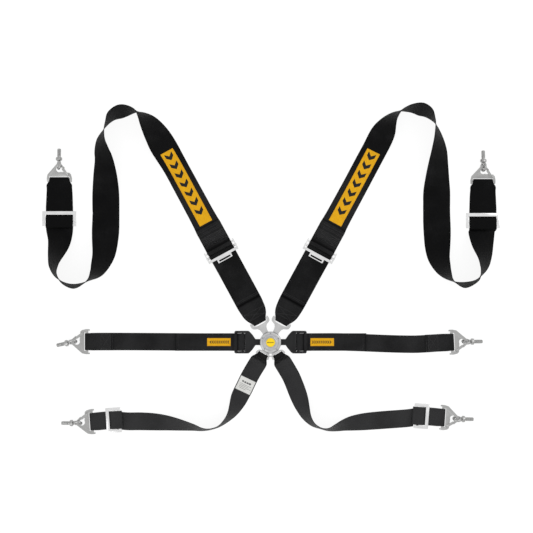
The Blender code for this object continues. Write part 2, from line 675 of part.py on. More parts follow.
def main():
    clear_scene()
    make_buckle()
    for side in ("left", "right"):
        make_shoulder_tongue(side)
        make_chest_webbing(side)
        make_shoulder_adjuster(side)
        make_shoulder_webbing(side)
        from_fold = SLIDE_FROM_FOLD["shoulder"]
        make_slide(f"shoulder_slide_{side}", SHOULDER_END[side], from_fold, SHOULDER_WIDTH, SHOULDER_SLIDE_WIDTH)
        make_anchor(f"shoulder_{side}", SHOULDER_END[side], 28.5 * MM)
        make_lap_adjuster(side)
        make_lap_webbing(side)
        make_anchor(f"lap_{side}", LAP_END[side], 25.4 * MM)
        make_leg_tongue(side)
        make_leg_webbing(side)
        make_slide(f"leg_slide_{side}", LEG_END[side], SLIDE_FROM_FOLD["leg"], LEG_WIDTH, LEG_SLIDE_WIDTH)
        make_anchor(f"leg_{side}", LEG_END[side], 25.4 * MM)


main()
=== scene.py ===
import math

import bmesh
import bpy
from mathutils import Matrix, Vector


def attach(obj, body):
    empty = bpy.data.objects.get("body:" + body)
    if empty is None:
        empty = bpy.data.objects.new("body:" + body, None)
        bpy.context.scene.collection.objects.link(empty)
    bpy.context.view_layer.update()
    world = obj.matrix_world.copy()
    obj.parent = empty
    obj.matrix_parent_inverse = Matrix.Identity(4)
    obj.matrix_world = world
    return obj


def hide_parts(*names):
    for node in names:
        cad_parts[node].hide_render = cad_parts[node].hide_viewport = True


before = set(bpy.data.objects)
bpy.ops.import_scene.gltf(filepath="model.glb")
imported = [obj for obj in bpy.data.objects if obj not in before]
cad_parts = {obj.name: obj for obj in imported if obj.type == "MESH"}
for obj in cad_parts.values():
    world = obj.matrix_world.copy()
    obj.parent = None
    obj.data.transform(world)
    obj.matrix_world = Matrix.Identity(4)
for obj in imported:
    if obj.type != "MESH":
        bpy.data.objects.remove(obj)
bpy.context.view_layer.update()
mm = 0.001
sides = ("left", "right")
print("frame loaded:", len(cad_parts), "nodes")

# Where the straps lie. The same driving sizes as the frame: angles in degrees, lengths in mm.
layout = {
    "angle": {
        "shoulder_left": 118.5, "shoulder_right": 61.5, "lap_left": 180.0, "lap_right": 0.0,
        "leg_left": 238.5, "leg_right": 301.0,
    },
    "end": {
        "shoulder_left": (-590.5, 461.7, 90.0), "shoulder_right": (594.0, 456.5, 90.0),
        "lap_left": (-519.7, 1.2, 180.0), "lap_right": (513.5, 0.0, 3.0),
        "leg_left": (-505.7, -223.0, 184.0), "leg_right": (488.3, -211.5, -4.0),
    },
    "shoulderSlide": 117,
    "legSlide": 67,
    "shoulderWidth": 76,
    "sleeveWidth": 70,  # the doubled stretch of a shoulder strap above its adjuster
    "chestWidth": 74,
    "lapWidth": 49,
    "legWidth": 50,
    "rest": 0.95,  # middle of a strap that lies flat
}


def deselectAll():
    for obj in bpy.context.selected_objects:
        obj.select_set(False)


def placeAt(x, y, angle):
    return Matrix.Translation((x, y, 0)) @ Matrix.Rotation(math.radians(angle), 4, "Z")


def strapPlace(name):
    return placeAt(0, 0, layout["angle"][name])


def endPlace(name):
    x, y, angle = layout["end"][name]
    return placeAt(x * mm, y * mm, angle)


# Camera: straight above, a long lens, so that upright webbing leans out only a little
camera = {"height": 3.6, "aimX": -0.0113, "aimY": 0.2113, "widthSeen": 1.4924}


def makeCamera():
    data = bpy.data.cameras.new("topCamera")
    data.sensor_width = 36
    data.lens = 36 * camera["height"] / camera["widthSeen"]
    obj = bpy.data.objects.new("topCamera", data)
    obj.location = (camera["aimX"], camera["aimY"], camera["height"])
    bpy.context.scene.collection.objects.link(obj)
    bpy.context.scene.camera = obj


makeCamera()
print("camera set")

# Materials


def newMaterial(name, colour, roughness, metallic=0.0):
    material = bpy.data.materials.new(name)
    material.use_nodes = True
    shader = material.node_tree.nodes["Principled BSDF"]
    shader.inputs["Base Color"].default_value = (*colour, 1)
    shader.inputs["Roughness"].default_value = roughness
    shader.inputs["Metallic"].default_value = metallic
    return material, material.node_tree, shader


def addNode(tree, kind, links=(), **values):
    node = tree.nodes.new(kind)
    for key, value in values.items():
        setattr(node, key, value)
    for socket, source in dict(links).items():
        if isinstance(source, bpy.types.NodeSocket):
            tree.links.new(source, node.inputs[socket])
        else:
            node.inputs[socket].default_value = source
    return node


def mathNode(tree, operation, first, second=0.0):
    return addNode(tree, "ShaderNodeMath", {0: first, 1: second}, operation=operation).outputs[0]


def plus(tree, first, second):
    return mathNode(tree, "ADD", first, second)


def times(tree, first, second):
    return mathNode(tree, "MULTIPLY", first, second)


def below(tree, first, second):
    # one where the first is the smaller, and nothing elsewhere
    return mathNode(tree, "LESS_THAN", first, second)


def scaled(tree, source, amount, offset):
    return plus(tree, times(tree, source, amount), offset)


def centred(tree, source, amount):
    # a noise between nothing and one, spread evenly about zero
    return times(tree, mathNode(tree, "SUBTRACT", source, 0.5), amount)


def clamped(tree, source):
    return addNode(tree, "ShaderNodeClamp", {"Value": source}).outputs[0]


def noiseAt(tree, place, scale, detail=2.0):
    noise = addNode(tree, "ShaderNodeTexNoise", {"Vector": place, "Scale": scale, "Detail": detail})
    return noise.outputs["Fac"]


def objectPlace(tree):
    return addNode(tree, "ShaderNodeTexCoord").outputs["Object"]


def clothPlace(tree):
    # the cloth's own map: metres across and along it
    place = addNode(tree, "ShaderNodeUVMap", uv_map="cloth").outputs["UV"]
    split = addNode(tree, "ShaderNodeSeparateXYZ", {0: place})
    return place, split.outputs["X"], split.outputs["Y"]


def addBump(tree, shader, height, strength, distance):
    bump = addNode(tree, "ShaderNodeBump", {"Strength": strength, "Distance": distance, "Height": height})
    tree.links.new(bump.outputs["Normal"], shader.inputs["Normal"])


def twoColours(tree, factor, first, second):
    mix = addNode(tree, "ShaderNodeMix", data_type="RGBA")
    tree.links.new(factor, mix.inputs["Factor"])
    mix.inputs["A"].default_value = (*first, 1)
    mix.inputs["B"].default_value = (*second, 1)
    return mix.outputs["Result"]


def printedOver(tree, colour, inked, ink):
    mix = addNode(tree, "ShaderNodeMix", {"Factor": inked}, data_type="RGBA")
    tree.links.new(colour, mix.inputs["A"])
    mix.inputs["B"].default_value = (*ink, 1)
    return mix.outputs["Result"]


webCloth = {
    "dark": (0.0022, 0.0022, 0.0024), "light": (0.025, 0.025, 0.026),
    "ribPitch": 0.0031, "yarnPitch": 0.0011,  # metres
    "tone": 0.42, "yarn": 0.12, "soft": 0.6, "cloud": 1.5, "speck": 1.3, "grain": 0.4,
    "roughness": 0.52, "sheen": 0.035, "gloss": 0.12,
}


def makeWebbing():
    # chevron twill: the yarns climb towards the middle of each rib
    material, tree, shader = newMaterial("blackWebbing", webCloth["dark"], webCloth["roughness"])
    shader.inputs["Sheen Roughness"].default_value = 0.4
    place, across, along = clothPlace(tree)
    rib = mathNode(tree, "PINGPONG", across, webCloth["ribPitch"] / 2)
    turns = 2 * math.pi / webCloth["yarnPitch"]
    yarn = mathNode(tree, "SINE", times(tree, plus(tree, along, rib), turns))
    furrow = mathNode(tree, "SINE", times(tree, across, 4 * math.pi / webCloth["ribPitch"]))
    soft = noiseAt(tree, place, 26.0, 4.0)
    tone = scaled(tree, yarn, webCloth["yarn"], webCloth["tone"])
    for noise, amount in (
        (soft, "soft"), (noiseAt(tree, place, 9.0, 3.0), "cloud"),
        (noiseAt(tree, place, 420.0, 3.0), "speck"), (noiseAt(tree, place, 2600.0), "grain"),
    ):
        tone = plus(tree, tone, centred(tree, noise, webCloth[amount]))
    # painted shade: a per-point amount, set for each strap below, that darkens the cloth and takes away its
    # sheen and gloss (a negative amount lightens it)
    paintedShade = addNode(tree, "ShaderNodeAttribute", attribute_name="paintedShade").outputs["Fac"]
    unshaded = mathNode(tree, "SUBTRACT", 1.0, paintedShade)
    tone = clamped(tree, mathNode(tree, "SUBTRACT", tone, paintedShade))
    tree.links.new(times(tree, unshaded, webCloth["sheen"]), shader.inputs["Sheen Weight"])
    tree.links.new(times(tree, unshaded, webCloth["gloss"]), shader.inputs["Specular IOR Level"])
    tree.links.new(twoColours(tree, tone, webCloth["dark"], webCloth["light"]), shader.inputs["Base Color"])
    tree.links.new(scaled(tree, soft, 0.2, webCloth["roughness"]), shader.inputs["Roughness"])
    addBump(tree, shader, plus(tree, times(tree, yarn, 0.35), times(tree, furrow, 0.35)), 0.55, 0.0004)
    return material


webbing = makeWebbing()

# colour and roughness of each metal
metals = {
    "zinc": ((0.40, 0.40, 0.395), 0.36),
    "bar": ((0.74, 0.74, 0.74), 0.27),
    "alloy": ((0.54, 0.54, 0.54), 0.32),
    "spring": ((0.40, 0.40, 0.41), 0.3),
    "socket": ((0.16, 0.16, 0.165), 0.35),
    "blackOxide": ((0.009, 0.009, 0.01), 0.45),
}
blackShade = (0.004, 0.004, 0.004)
dullGloss = 0.16


def makeMetal(name, kind, brushed=0.06, edgeWearAndHighlight=0.12, metallic=1.0, shade=None):
    # satin metal: fine grain, faint cloudy tarnish, and edges made brighter, partly as wear and partly as a
    # painted highlight
    colour, roughness = metals[kind]
    material, tree, shader = newMaterial(name, colour, roughness, metallic)
    place = objectPlace(tree)
    cloud = noiseAt(tree, place, 55.0, 5.0)
    grain = noiseAt(tree, place, 1900.0)
    edge = addNode(tree, "ShaderNodeNewGeometry").outputs["Pointiness"]
    # painted highlight and wear: sharp edges are lightened
    edgeWearAndGlint = addNode(tree, "ShaderNodeMapRange", {"Value": edge, "From Min": 0.505, "From Max": 0.56})
    base = plus(tree, centred(tree, cloud, 0.9), 0.45)
    tone = plus(tree, base, times(tree, edgeWearAndGlint.outputs["Result"], edgeWearAndHighlight))
    low = shade or tuple(c * 0.78 for c in colour)
    high = tuple(min(1, c * 1.15 + 0.01) for c in colour)
    tree.links.new(twoColours(tree, clamped(tree, tone), low, high), shader.inputs["Base Color"])
    tree.links.new(scaled(tree, cloud, 0.16, roughness - 0.08), shader.inputs["Roughness"])
    addBump(tree, shader, grain, brushed, 0.0002)
    return material


zinc = makeMetal("zincPlatedSteel", "zinc")
barSteel = makeMetal("satinBarSteel", "bar")
alloy = makeMetal("satinAlloy", "alloy", brushed=0.1)
springSteel = makeMetal("springSteel", "spring")
blackSteel = makeMetal("blackOxideSteel", "blackOxide", edgeWearAndHighlight=0.35, metallic=0.0, shade=blackShade)
blackSteel.node_tree.nodes["Principled BSDF"].inputs["Specular IOR Level"].default_value = dullGloss

# the knob's badge: glossy yellow with one broken dark line. Lengths in metres
badge = {
    "paint": (0.9, 0.62, 0.004), "low": (0.82, 0.55, 0.003), "high": (0.95, 0.68, 0.006),
    "ink": (0.03, 0.025, 0.01),
    "gloss": 0.2, "coat": 0.4, "dash": 0.0031, "dashShare": 0.72, "halfLength": 0.0093, "halfWidth": 0.0013,
}


def makeBadgePaint():
    material, tree, shader = newMaterial("yellowBadge", badge["paint"], 0.3)
    shader.inputs["Coat Weight"].default_value = badge["coat"]
    shader.inputs["Specular IOR Level"].default_value = badge["gloss"]
    place = objectPlace(tree)
    tone = twoColours(tree, noiseAt(tree, place, 300.0), badge["low"], badge["high"])
    axes = addNode(tree, "ShaderNodeSeparateXYZ", {0: place})
    x, y = axes.outputs["X"], axes.outputs["Y"]
    along = mathNode(tree, "FRACT", mathNode(tree, "DIVIDE", x, badge["dash"]))
    dash = below(tree, along, badge["dashShare"])
    length = below(tree, mathNode(tree, "ABSOLUTE", x), badge["halfLength"])
    band = times(tree, below(tree, mathNode(tree, "ABSOLUTE", y), badge["halfWidth"]), dash)
    printed = printedOver(tree, tone, times(tree, band, length), badge["ink"])
    tree.links.new(printed, shader.inputs["Base Color"])
    return material


badgePaint = makeBadgePaint()

clothColours = {
    "label": (0.80, 0.43, 0.004), "labelWorn": (0.62, 0.30, 0.003), "ink": (0.012, 0.012, 0.012),
    "tag": (0.74, 0.74, 0.72), "tagWorn": (0.6, 0.6, 0.58), "greyInk": (0.12, 0.12, 0.12),
    "blackThread": (0.02, 0.02, 0.021), "yellowThread": (0.5, 0.23, 0.012), "whiteThread": (0.5, 0.5, 0.49),
    "weavePitch": 0.0009,
}


def barMarks(tree, across, along, marks):
    # short printed bars, each (middle across, middle along, half width, half length) in mm
    inked = None
    for middleX, middleY, halfX, halfY in marks:
        offX = mathNode(tree, "ABSOLUTE", mathNode(tree, "SUBTRACT", across, middleX * mm))
        offY = mathNode(tree, "ABSOLUTE", mathNode(tree, "SUBTRACT", along, middleY * mm))
        spot = times(tree, below(tree, offX, halfX * mm), below(tree, offY, halfY * mm))
        inked = spot if inked is None else mathNode(tree, "MAXIMUM", inked, spot)
    return inked


def chevronMarks(tree, across, along, halfWidth, first, end, pitch, slope, share):
    # a row of plain chevrons, lengths in mm. The share is how much of each pitch is inked
    side = mathNode(tree, "ABSOLUTE", across)
    bent = plus(tree, mathNode(tree, "SUBTRACT", along, first * mm), times(tree, side, slope))
    phase = mathNode(tree, "FRACT", mathNode(tree, "DIVIDE", bent, pitch * mm))
    spot = times(tree, below(tree, phase, share), below(tree, side, halfWidth * mm))
    spot = times(tree, spot, mathNode(tree, "GREATER_THAN", bent, 0.0))
    return times(tree, spot, below(tree, bent, (end - first) * mm))


def makeCloth(name, light, worn, ink, printing, *marks):
    # a woven patch, with its printing in ink
    material, tree, shader = newMaterial(name, light, 0.66)
    shader.inputs["Sheen Weight"].default_value = 0.03
    shader.inputs["Specular IOR Level"].default_value = 0.15
    place, across, along = clothPlace(tree)
    turns = 2 * math.pi / clothColours["weavePitch"]
    warp = mathNode(tree, "SINE", times(tree, across, turns))
    weft = mathNode(tree, "SINE", times(tree, along, turns))
    weave = times(tree, warp, weft)
    soft = noiseAt(tree, place, 60.0, 4.0)
    tone = plus(tree, plus(tree, centred(tree, soft, 1.1), 0.4), times(tree, weave, 0.12))
    colour = twoColours(tree, clamped(tree, tone), worn, light)
    inked = printing(tree, across, along, *marks)
    tree.links.new(printedOver(tree, colour, inked, ink), shader.inputs["Base Color"])
    tree.links.new(scaled(tree, soft, 0.2, 0.5), shader.inputs["Roughness"])
    addBump(tree, shader, weave, 0.35, 0.0002)
    return material


def makeThread(name):
    colour = clothColours[name]
    material, tree, shader = newMaterial(name, colour, 0.5)
    shader.inputs["Sheen Weight"].default_value = 0.2
    twist = noiseAt(tree, objectPlace(tree), 1500.0)
    low, high = tuple(c * 0.6 for c in colour), tuple(c * 1.5 for c in colour)
    tree.links.new(twoColours(tree, twist, low, high), shader.inputs["Base Color"])
    tree.links.new(scaled(tree, twist, 0.2, 0.4), shader.inputs["Roughness"])
    addBump(tree, shader, twist, 0.3, 0.0002)
    return material


blackThread = makeThread("blackThread")
yellowThread = makeThread("yellowThread")
whiteThread = makeThread("whiteThread")
print("materials made:", len(bpy.data.materials))

# Webbing. A station is (middle, direction across the strap, width), in metres.


def along(place, points, width, sign=1.0):
    across = (place.to_3x3() @ Vector((0, sign, 0))).normalized()
    stations = []
    for point in points:
        size = (point[2] if len(point) > 2 else width) * mm
        stations.append((place @ Vector((point[0] * mm, 0, point[1] * mm)), across, size))
    return stations


def rolled(route, width):
    # a strap laid down, from (x, y, roll) in mm and degrees. The roll lifts its left edge
    points = [Vector((x * mm, y * mm, 0)) for x, y, _ in route]
    stations = []
    for i, (_, _, roll) in enumerate(route):
        heading = points[min(i + 1, len(points) - 1)] - points[max(i - 1, 0)]
        left = Vector((-heading.y, heading.x, 0)).normalized()
        angle = math.radians(roll)
        across = left * math.cos(angle) + Vector((0, 0, math.sin(angle)))
        height = (layout["rest"] + abs(math.sin(angle)) * width / 2) * mm
        stations.append((points[i] + Vector((0, 0, height)), across, width * mm))
    return stations


def throughPoints(a, b, c, d, t):
    # a curve from b to c that heads for its neighbours on either side
    return 0.5 * (2 * b + (c - a) * t + (2 * a - 5 * b + 4 * c - d) * t * t + (3 * b - a - 3 * c + d) * t**3)


def smoothed(stations, cuts=3):
    # the same run with more stations, on a curve through the ones given
    result, last = [], len(stations) - 1
    for i in range(last):
        four = [stations[max(i - 1, 0)], stations[i], stations[i + 1], stations[min(i + 2, last)]]
        for step in range(cuts):
            middle, across, width = (throughPoints(*(s[k] for s in four), step / cuts) for k in range(3))
            result.append((middle, across.normalized(), width))
    return [*result, stations[last]]


def anchorFold(width, gathered):
    # over the anchor plate's bar, through its slot and back below it
    near = (width + 3 * gathered) / 4
    return [
        (-34, 4.6, width), (-22, 6.2, width), (-12, 7.8, near), (-4.5, 8.5, gathered),
        (-1.9, 7.1, gathered), (-1.2, 4.9, gathered), (-2.0, 2.5, gathered), (-4.8, 1.2, gathered),
        (-12, 0.95, near), (-34, 0.95, width),
    ]


def slideTail(distance):
    # the loose end under a slide, round its inner bar, over the middle one and under the outer one
    steps = [
        (2, 3.0), (-12, 3.0), (-20, 3.0), (-23, 3.5), (-24.2, 5.7), (-23, 7.9), (-20, 8.4), (-8, 8.4),
        (4.2, 8.4), (5.6, 7.6), (7.5, 5.7), (9.4, 3.8), (10.8, 3.0), (23, 3.0), (33, 3.4),
    ]
    return [(x - distance, z) for x, z in steps]


# The curled runs between the fittings, as (x, y, roll)
shoulderRoute = {
    "left": [
        (-590, 277, 27), (-600, 234, 52), (-602, 212, 62), (-595, 187, 76), (-572, 165, 90),
        (-539, 157, 99), (-504, 173, 90), (-486, 190, 72), (-475, 210, 58), (-464, 243, 42),
        (-461, 285, 24), (-461, 341, 0), (-461, 397, 0), (-461, 453, -19), (-464, 509, -42),
        (-470, 537, -53), (-471, 565, -66), (-463, 590, -80), (-453, 610, -90), (-441, 628, -103),
        (-419, 640, -112), (-399, 644, -107), (-374, 643, -90), (-357, 632, -72), (-340, 614, -52),
        (-319, 582, -30), (-300, 548, -14), (-270, 497, 0), (-235, 433, 0),
    ],
    "right": [
        (590, 306, -8), (591, 271, -30), (595, 238, -50), (593, 213, -62), (585, 192, -76), (570, 172, -90),
        (534, 160, -101), (503, 172, -90), (487, 190, -73), (477, 208, -60), (468, 233, -46), (465, 262, -32),
        (465, 300, -18), (465, 355, 0), (465, 408, 0), (465, 453, 21), (467, 497, 37), (469, 537, 50),
        (466, 572, 65), (459, 604, 80), (451, 620, 90), (438, 637, 104), (418, 647, 111), (393, 650, 102),
        (367, 646, 90), (352, 639, 80), (337, 626, 68), (325, 609, 52), (314, 586, 32), (295, 546, 8),
        (268, 495, 0), (235, 433, 0),
    ],
}
legRoute = {
    "left": [
        (-60, -100, 0), (-73, -127, 0), (-86, -153, -12), (-96, -177, -38), (-107, -198, -57),
        (-122, -216, -71), (-143, -233, -80), (-167, -241, -80), (-189, -242, -74), (-212, -237, -63),
        (-240, -232, -50), (-282, -226, -30), (-324, -223, -11), (-366, -222, 0), (-400, -222, 0),
    ],
    "right": [
        (58, -98, 0), (70, -127, 2), (81, -157, 18), (91, -186, 42), (102, -210, 60), (119, -229, 73),
        (141, -239, 80), (161, -242, 74), (180, -238, 61), (203, -231, 45), (228, -226, 28), (267, -222, 10),
        (320, -218, 0), (385, -213, 0),
    ],
}


def shoulderStations(side):
    # through its slide and anchor plate, round the curl, to the loop sewn on the adjuster's rear bar
    end, chest = endPlace(f"shoulder_{side}"), strapPlace(f"shoulder_{side}")
    width = layout["shoulderWidth"]
    slide = along(end, slideTail(layout["shoulderSlide"]), width, -1)
    fold = along(end, anchorFold(71, 54), width, -1)
    under = along(end, [(-117, 0.95), (-142, 0.95)], width, -1)
    loop = [
        (410, 0.95, 71), (378, 0.95, 73), (366, 1.4), (352, 3.1), (325, 3.3), (314, 6.0), (305, 9.6),
        (299.5, 10.5), (295.0, 10.4), (292.95, 9.5), (293.3, 7.4), (294.3, 5.0), (295.6, 2.9),
        (299.5, 1.5), (306, 1.1), (350, 1.1),
    ]
    chestRun = along(chest, loop, 75, -1)
    narrow = layout["sleeveWidth"] * mm
    route = []
    for middle, across, size in rolled(shoulderRoute[side], width):
        inSleeve = middle.y > 0.4 and abs(middle.x) < 0.3
        route.append((middle, across, narrow if inSleeve else size))
    run = smoothed([*under, *route, chestRun[0]])
    return [*slide, *fold], run, chestRun[1:]


def chestStations(side):
    # sewn on the tongue, up to the adjuster, round its lock bar and back as the loose tail
    points = [
        (104, 1.0, 68), (82, 1.6, 60), (72, 2.8, 48), (65, 3.3, 39), (61.6, 4.3, 38), (60.6, 6.5, 38),
        (61.6, 8.7, 38), (65, 9.7, 39), (72, 8.6, 48), (82, 5.0, 60), (94, 3.3, 68), (106, 3.0, 71),
        (116, 1.3, 73), (126, 0.95), (265, 0.95), (280, 1.3), (284, 1.5), (288.5, 1.8), (290.9, 3.6),
        (291.6, 6.0), (290.4, 8.7), (287.5, 10.5), (283, 10.5), (272, 10.3), (262, 9.2), (248, 5.6),
        (236, 3.5), (222, 3.0), (132, 3.0),
    ]
    return along(strapPlace(f"shoulder_{side}"), points, layout["chestWidth"])


def lapStations(side):
    # the loose tail over the adjuster, round its lock bar, back below it and sewn round the anchor plate
    end = endPlace(f"lap_{side}")
    width = layout["lapWidth"]
    points = [
        (268, 3.0), (130, 3.0), (118, 3.4), (108, 6.0), (101, 9.1), (95, 9.6), (88, 10.4), (82, 11.1),
        (77, 11.0), (73.1, 9.2), (72.15, 6.5), (73.1, 3.9), (77, 2.0), (82, 1.7), (94, 1.2), (110, 0.95),
        (200, 0.95),
    ]
    start = along(strapPlace(f"lap_{side}"), points, width)
    fold = along(end, [(-80, 3.0), *anchorFold(width, 47)], width)
    return [*start, *along(end, [(-120, 0.95)], width), *reversed(fold)]


def legStations(side):
    # sewn round its tongue, through its anchor plate and back through its slide
    end = endPlace(f"leg_{side}")
    width = layout["legWidth"]
    points = [
        (78, 1.0), (62, 1.4, 48), (50, 2.9, 36), (44, 3.7, 30), (39.4, 4.3, 30), (38.2, 6.5, 30),
        (39.4, 8.9, 30), (44, 9.7, 30), (50, 9.0, 36), (60, 6.0, 48), (70, 3.4), (80, 3.0), (90, 1.4),
    ]
    start = along(strapPlace(f"leg_{side}"), points, width)
    fold = along(end, anchorFold(width, 48), width)
    slide = along(end, slideTail(layout["legSlide"])[:-1], width)
    run = smoothed([start[-1], *rolled(legRoute[side], width), *along(end, [(-67, 0.95)], width)])
    return start[:-1], run, [*reversed(fold), *reversed(slide)]


ribbonShape = {"spacing": 4.0, "turn": 14.0, "columns": 12, "edgeSteps": 4, "thick": 1.6}


def refined(stations):
    # rings along a smooth curve, closer where it bends. Each is (middle, across, width, distance, normal)
    last = len(stations) - 1
    steps = [(stations[i + 1][0] - stations[i][0]).length for i in range(last)]
    slopes = []
    for i in range(last + 1):
        a, b = max(i - 1, 0), min(i + 1, last)
        reach = sum(steps[a:b])
        slopes.append([(stations[b][k] - stations[a][k]) / reach for k in range(3)])
    rings, distance = [], 0.0
    for i in range(last):
        bend = math.degrees(slopes[i][0].angle(slopes[i + 1][0], 0.0))
        apart = math.ceil(steps[i] / mm / ribbonShape["spacing"])
        count = max(1, apart, math.ceil(bend / ribbonShape["turn"]))
        for step in range(count):
            t = step / count
            values = []
            for k in range(3):
                a, b = stations[i][k], stations[i + 1][k]
                ma, mb = slopes[i][k] * steps[i], slopes[i + 1][k] * steps[i]
                value = (2 * t**3 - 3 * t * t + 1) * a + (t**3 - 2 * t * t + t) * ma
                values.append(value + (3 * t * t - 2 * t**3) * b + (t**3 - t * t) * mb)
            rings.append((values[0], values[1].normalized(), values[2]))
    rings.append(stations[last])
    result = []
    for i, (middle, across, width) in enumerate(rings):
        if i:
            distance += (middle - rings[i - 1][0]).length
        before, after = rings[max(i - 1, 0)][0], rings[min(i + 1, len(rings) - 1)][0]
        normal = (after - before).cross(across).normalized()
        result.append((middle, across, width, distance, normal))
    return result


def newObject(name, bm, material, smooth):
    mesh = bpy.data.meshes.new(name)
    bm.to_mesh(mesh)
    bm.free()
    obj = bpy.data.objects.new(name, mesh)
    bpy.context.scene.collection.objects.link(obj)
    obj.data.materials.append(material)
    mesh.shade_smooth()
    mesh.set_sharp_from_angle(angle=math.radians(smooth))
    return obj


def makeRibbon(name, rings, material, body, thick=ribbonShape["thick"], lift=0.0, width=None):
    # a closed strap with rounded edges. Its UV map holds metres across and along
    thick = thick * mm
    columns, edgeSteps = ribbonShape["columns"], ribbonShape["edgeSteps"]
    bm = bmesh.new()
    uvs = {}
    loops = []
    for middle, across, ringWidth, distance, normal in rings:
        half = (width * mm if width else ringWidth) / 2
        flat = half - thick / 2
        outline = [(-flat + 2 * flat * i / columns, -thick / 2) for i in range(columns + 1)]
        for i in range(1, edgeSteps):
            angle = math.pi * i / edgeSteps
            outline.append((flat + thick / 2 * math.sin(angle), -thick / 2 * math.cos(angle)))
        outline += [(-x, -z) for x, z in outline]
        loop = []
        for x, z in outline:
            vert = bm.verts.new(middle + across * x + normal * (lift * mm + z))
            uvs[vert] = (x, distance)
            loop.append(vert)
        loops.append(loop)
    for first, second in zip(loops, loops[1:]):
        count = len(first)
        for k in range(count):
            bm.faces.new((first[k], first[(k + 1) % count], second[(k + 1) % count], second[k]))
    bm.faces.new(loops[0])
    bm.faces.new(loops[-1])
    layer = bm.loops.layers.uv.new("cloth")
    for face in bm.faces:
        for loop in face.loops:
            loop[layer].uv = uvs[loop.vert]
    bmesh.ops.recalc_face_normals(bm, faces=bm.faces)
    obj = newObject(name, bm, material, 60)
    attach(obj, body)
    return obj


def paintedShadeZones(obj, rings, tones, zones):
    # painted shade on the cloth: how much darker it is, from (distance, amount) pairs,
    # and a painted shadow beside a step from (distance, reach before, reach after, amount), in mm
    values = []
    each = len(obj.data.vertices) // len(rings)
    for ring in rings:
        at = ring[3] / mm
        value = tones[-1][1]
        for (low, first), (high, second) in zip(tones[:-1], tones[1:]):
            if at < high:
                value = first + (second - first) * max(0, (at - low) / (high - low))
                break
        for distance, before, after, amount in zones:
            reach = before if at < distance else after
            near = 1 - abs(at - distance) / reach
            value = max(value, amount * near) if near > 0 else value
        values += [value] * each
    attribute = obj.data.attributes.new("paintedShade", "FLOAT", "POINT")
    attribute.data.foreach_set("value", values)


straps = {}


def addStrap(kind, side, stations, width, run=None):
    # each strap keeps its rings, its width in mm and the rings of its free run
    key = f"{kind}_{side}"
    body = f"shoulder_{side}_strap" if kind == "chest" else f"{key}_strap"
    rings = refined(stations)
    obj = makeRibbon(f"{kind}Strap_{side}", rings, webbing, body)
    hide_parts(f"{kind}_webbing_{side}")
    straps[key] = (obj, rings, width, run)
    print(obj.name, "cut length", round(rings[-1][3], 3), "rings", len(rings))


for side in sides:
    tail, run, loop = shoulderStations(side)
    addStrap("shoulder", side, [*tail, *run, *loop], layout["shoulderWidth"])
    addStrap("chest", side, chestStations(side), layout["chestWidth"])
    addStrap("lap", side, lapStations(side), layout["lapWidth"])
    tail, run, loop = legStations(side)
    addStrap("leg", side, [*tail, *run, *loop], layout["legWidth"], refined(run))

# Labels: woven patches sewn on the straps, printed with chevrons or bars only
labelShape = {
    "thick": 0.7, "lift": 1.3, "shoulderWidth": 39, "lapWidth": 22, "tagWidth": 45,
    # metres from the buckle
    "shoulderSpan": (0.377, 0.608), "lapSpan": (0.109, 0.179), "tagSpan": (0.118, 0.162),
}
labelDyes = [clothColours[key] for key in ("label", "labelWorn", "ink")]
tagDyes = [clothColours[key] for key in ("tag", "tagWorn", "greyInk")]
labelCloth = makeCloth("yellowLabel", *labelDyes, chevronMarks, 11.5, 16, 214, 29, 0.9, 0.42)
smallLabelCloth = makeCloth("smallYellowLabel", *labelDyes, chevronMarks, 4.2, 7, 63, 6.2, 0.9, 0.5)
tagBars = (
    (10, 12, 3, 2.6), (3, 12.4, 3, 2.2), (-4, 12.6, 2.6, 2.4), (-11, 12.2, 2.8, 2.2),
    (0, 20, 17, 0.5), (-3, 24, 14, 0.5), (1, 28, 17, 0.5), (-5, 32, 11, 0.5),
)
tagCloth = makeCloth("whiteTag", *tagDyes, barMarks, tagBars)
patches = {}


def cutRings(rings, keep):
    # the rings under a label, measured again from its own first edge
    kept = [ring for ring in rings if keep(ring[0])]
    start, end = kept[0][3], kept[-1][3]
    if kept[len(kept) // 2][4].z < 0:  # the strap runs the other way here, so its upper side is turned over
        kept.reverse()
        return [(middle, across, width, end - at, -normal) for middle, across, width, at, normal in kept]
    return [(middle, across, width, at - start, normal) for middle, across, width, at, normal in kept]


def makePatch(name, rings, width, material, node, slotName, body):
    thick, lift = labelShape["thick"], labelShape["lift"]
    obj = makeRibbon(name, rings, material, body, thick, lift, width)
    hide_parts(node)
    patches[name] = (obj, rings, width, body, slotName)


def within(place, span, reach=1.0):
    # whether a point lies in this span along a strap, and no further than this to its side
    inverse = place.inverted()
    return lambda p: span[0] < (inverse @ p).x < span[1] and abs((inverse @ p).y) < reach


for side in sides:
    inside = within(strapPlace(f"shoulder_{side}"), labelShape["shoulderSpan"], 0.04)
    span = cutRings(straps[f"shoulder_{side}"][1], inside)
    node, body = f"shoulder_label_{side}", f"shoulder_{side}_strap"
    makePatch(f"shoulderLabel_{side}", span, labelShape["shoulderWidth"], labelCloth, node, "label", body)
    upper = [ring for ring in straps[f"lap_{side}"][1] if ring[3] < 0.2]
    span = cutRings(upper, within(strapPlace(f"lap_{side}"), labelShape["lapSpan"]))
    node, body = f"lap_label_{side}", f"lap_{side}_strap"
    makePatch(f"lapLabel_{side}", span, labelShape["lapWidth"], smallLabelCloth, node, "label", body)
tagFrom, tagTo = labelShape["tagSpan"]
span = cutRings(straps["leg_left"][3], lambda p: tagFrom < p.length < tagTo)
makePatch("legTag", span, labelShape["tagWidth"], tagCloth, "leg_tag_left", "tag", "leg_left_strap")
print("labels made:", len(patches))

# Stitching: short capsules of thread laid on a strap along rows given as (distance, across) pairs in mm
thread = {"radius": 0.42, "pitch": 3.4, "gap": 0.14, "sink": 0.12}  # mm, and the gap as a share of the pitch


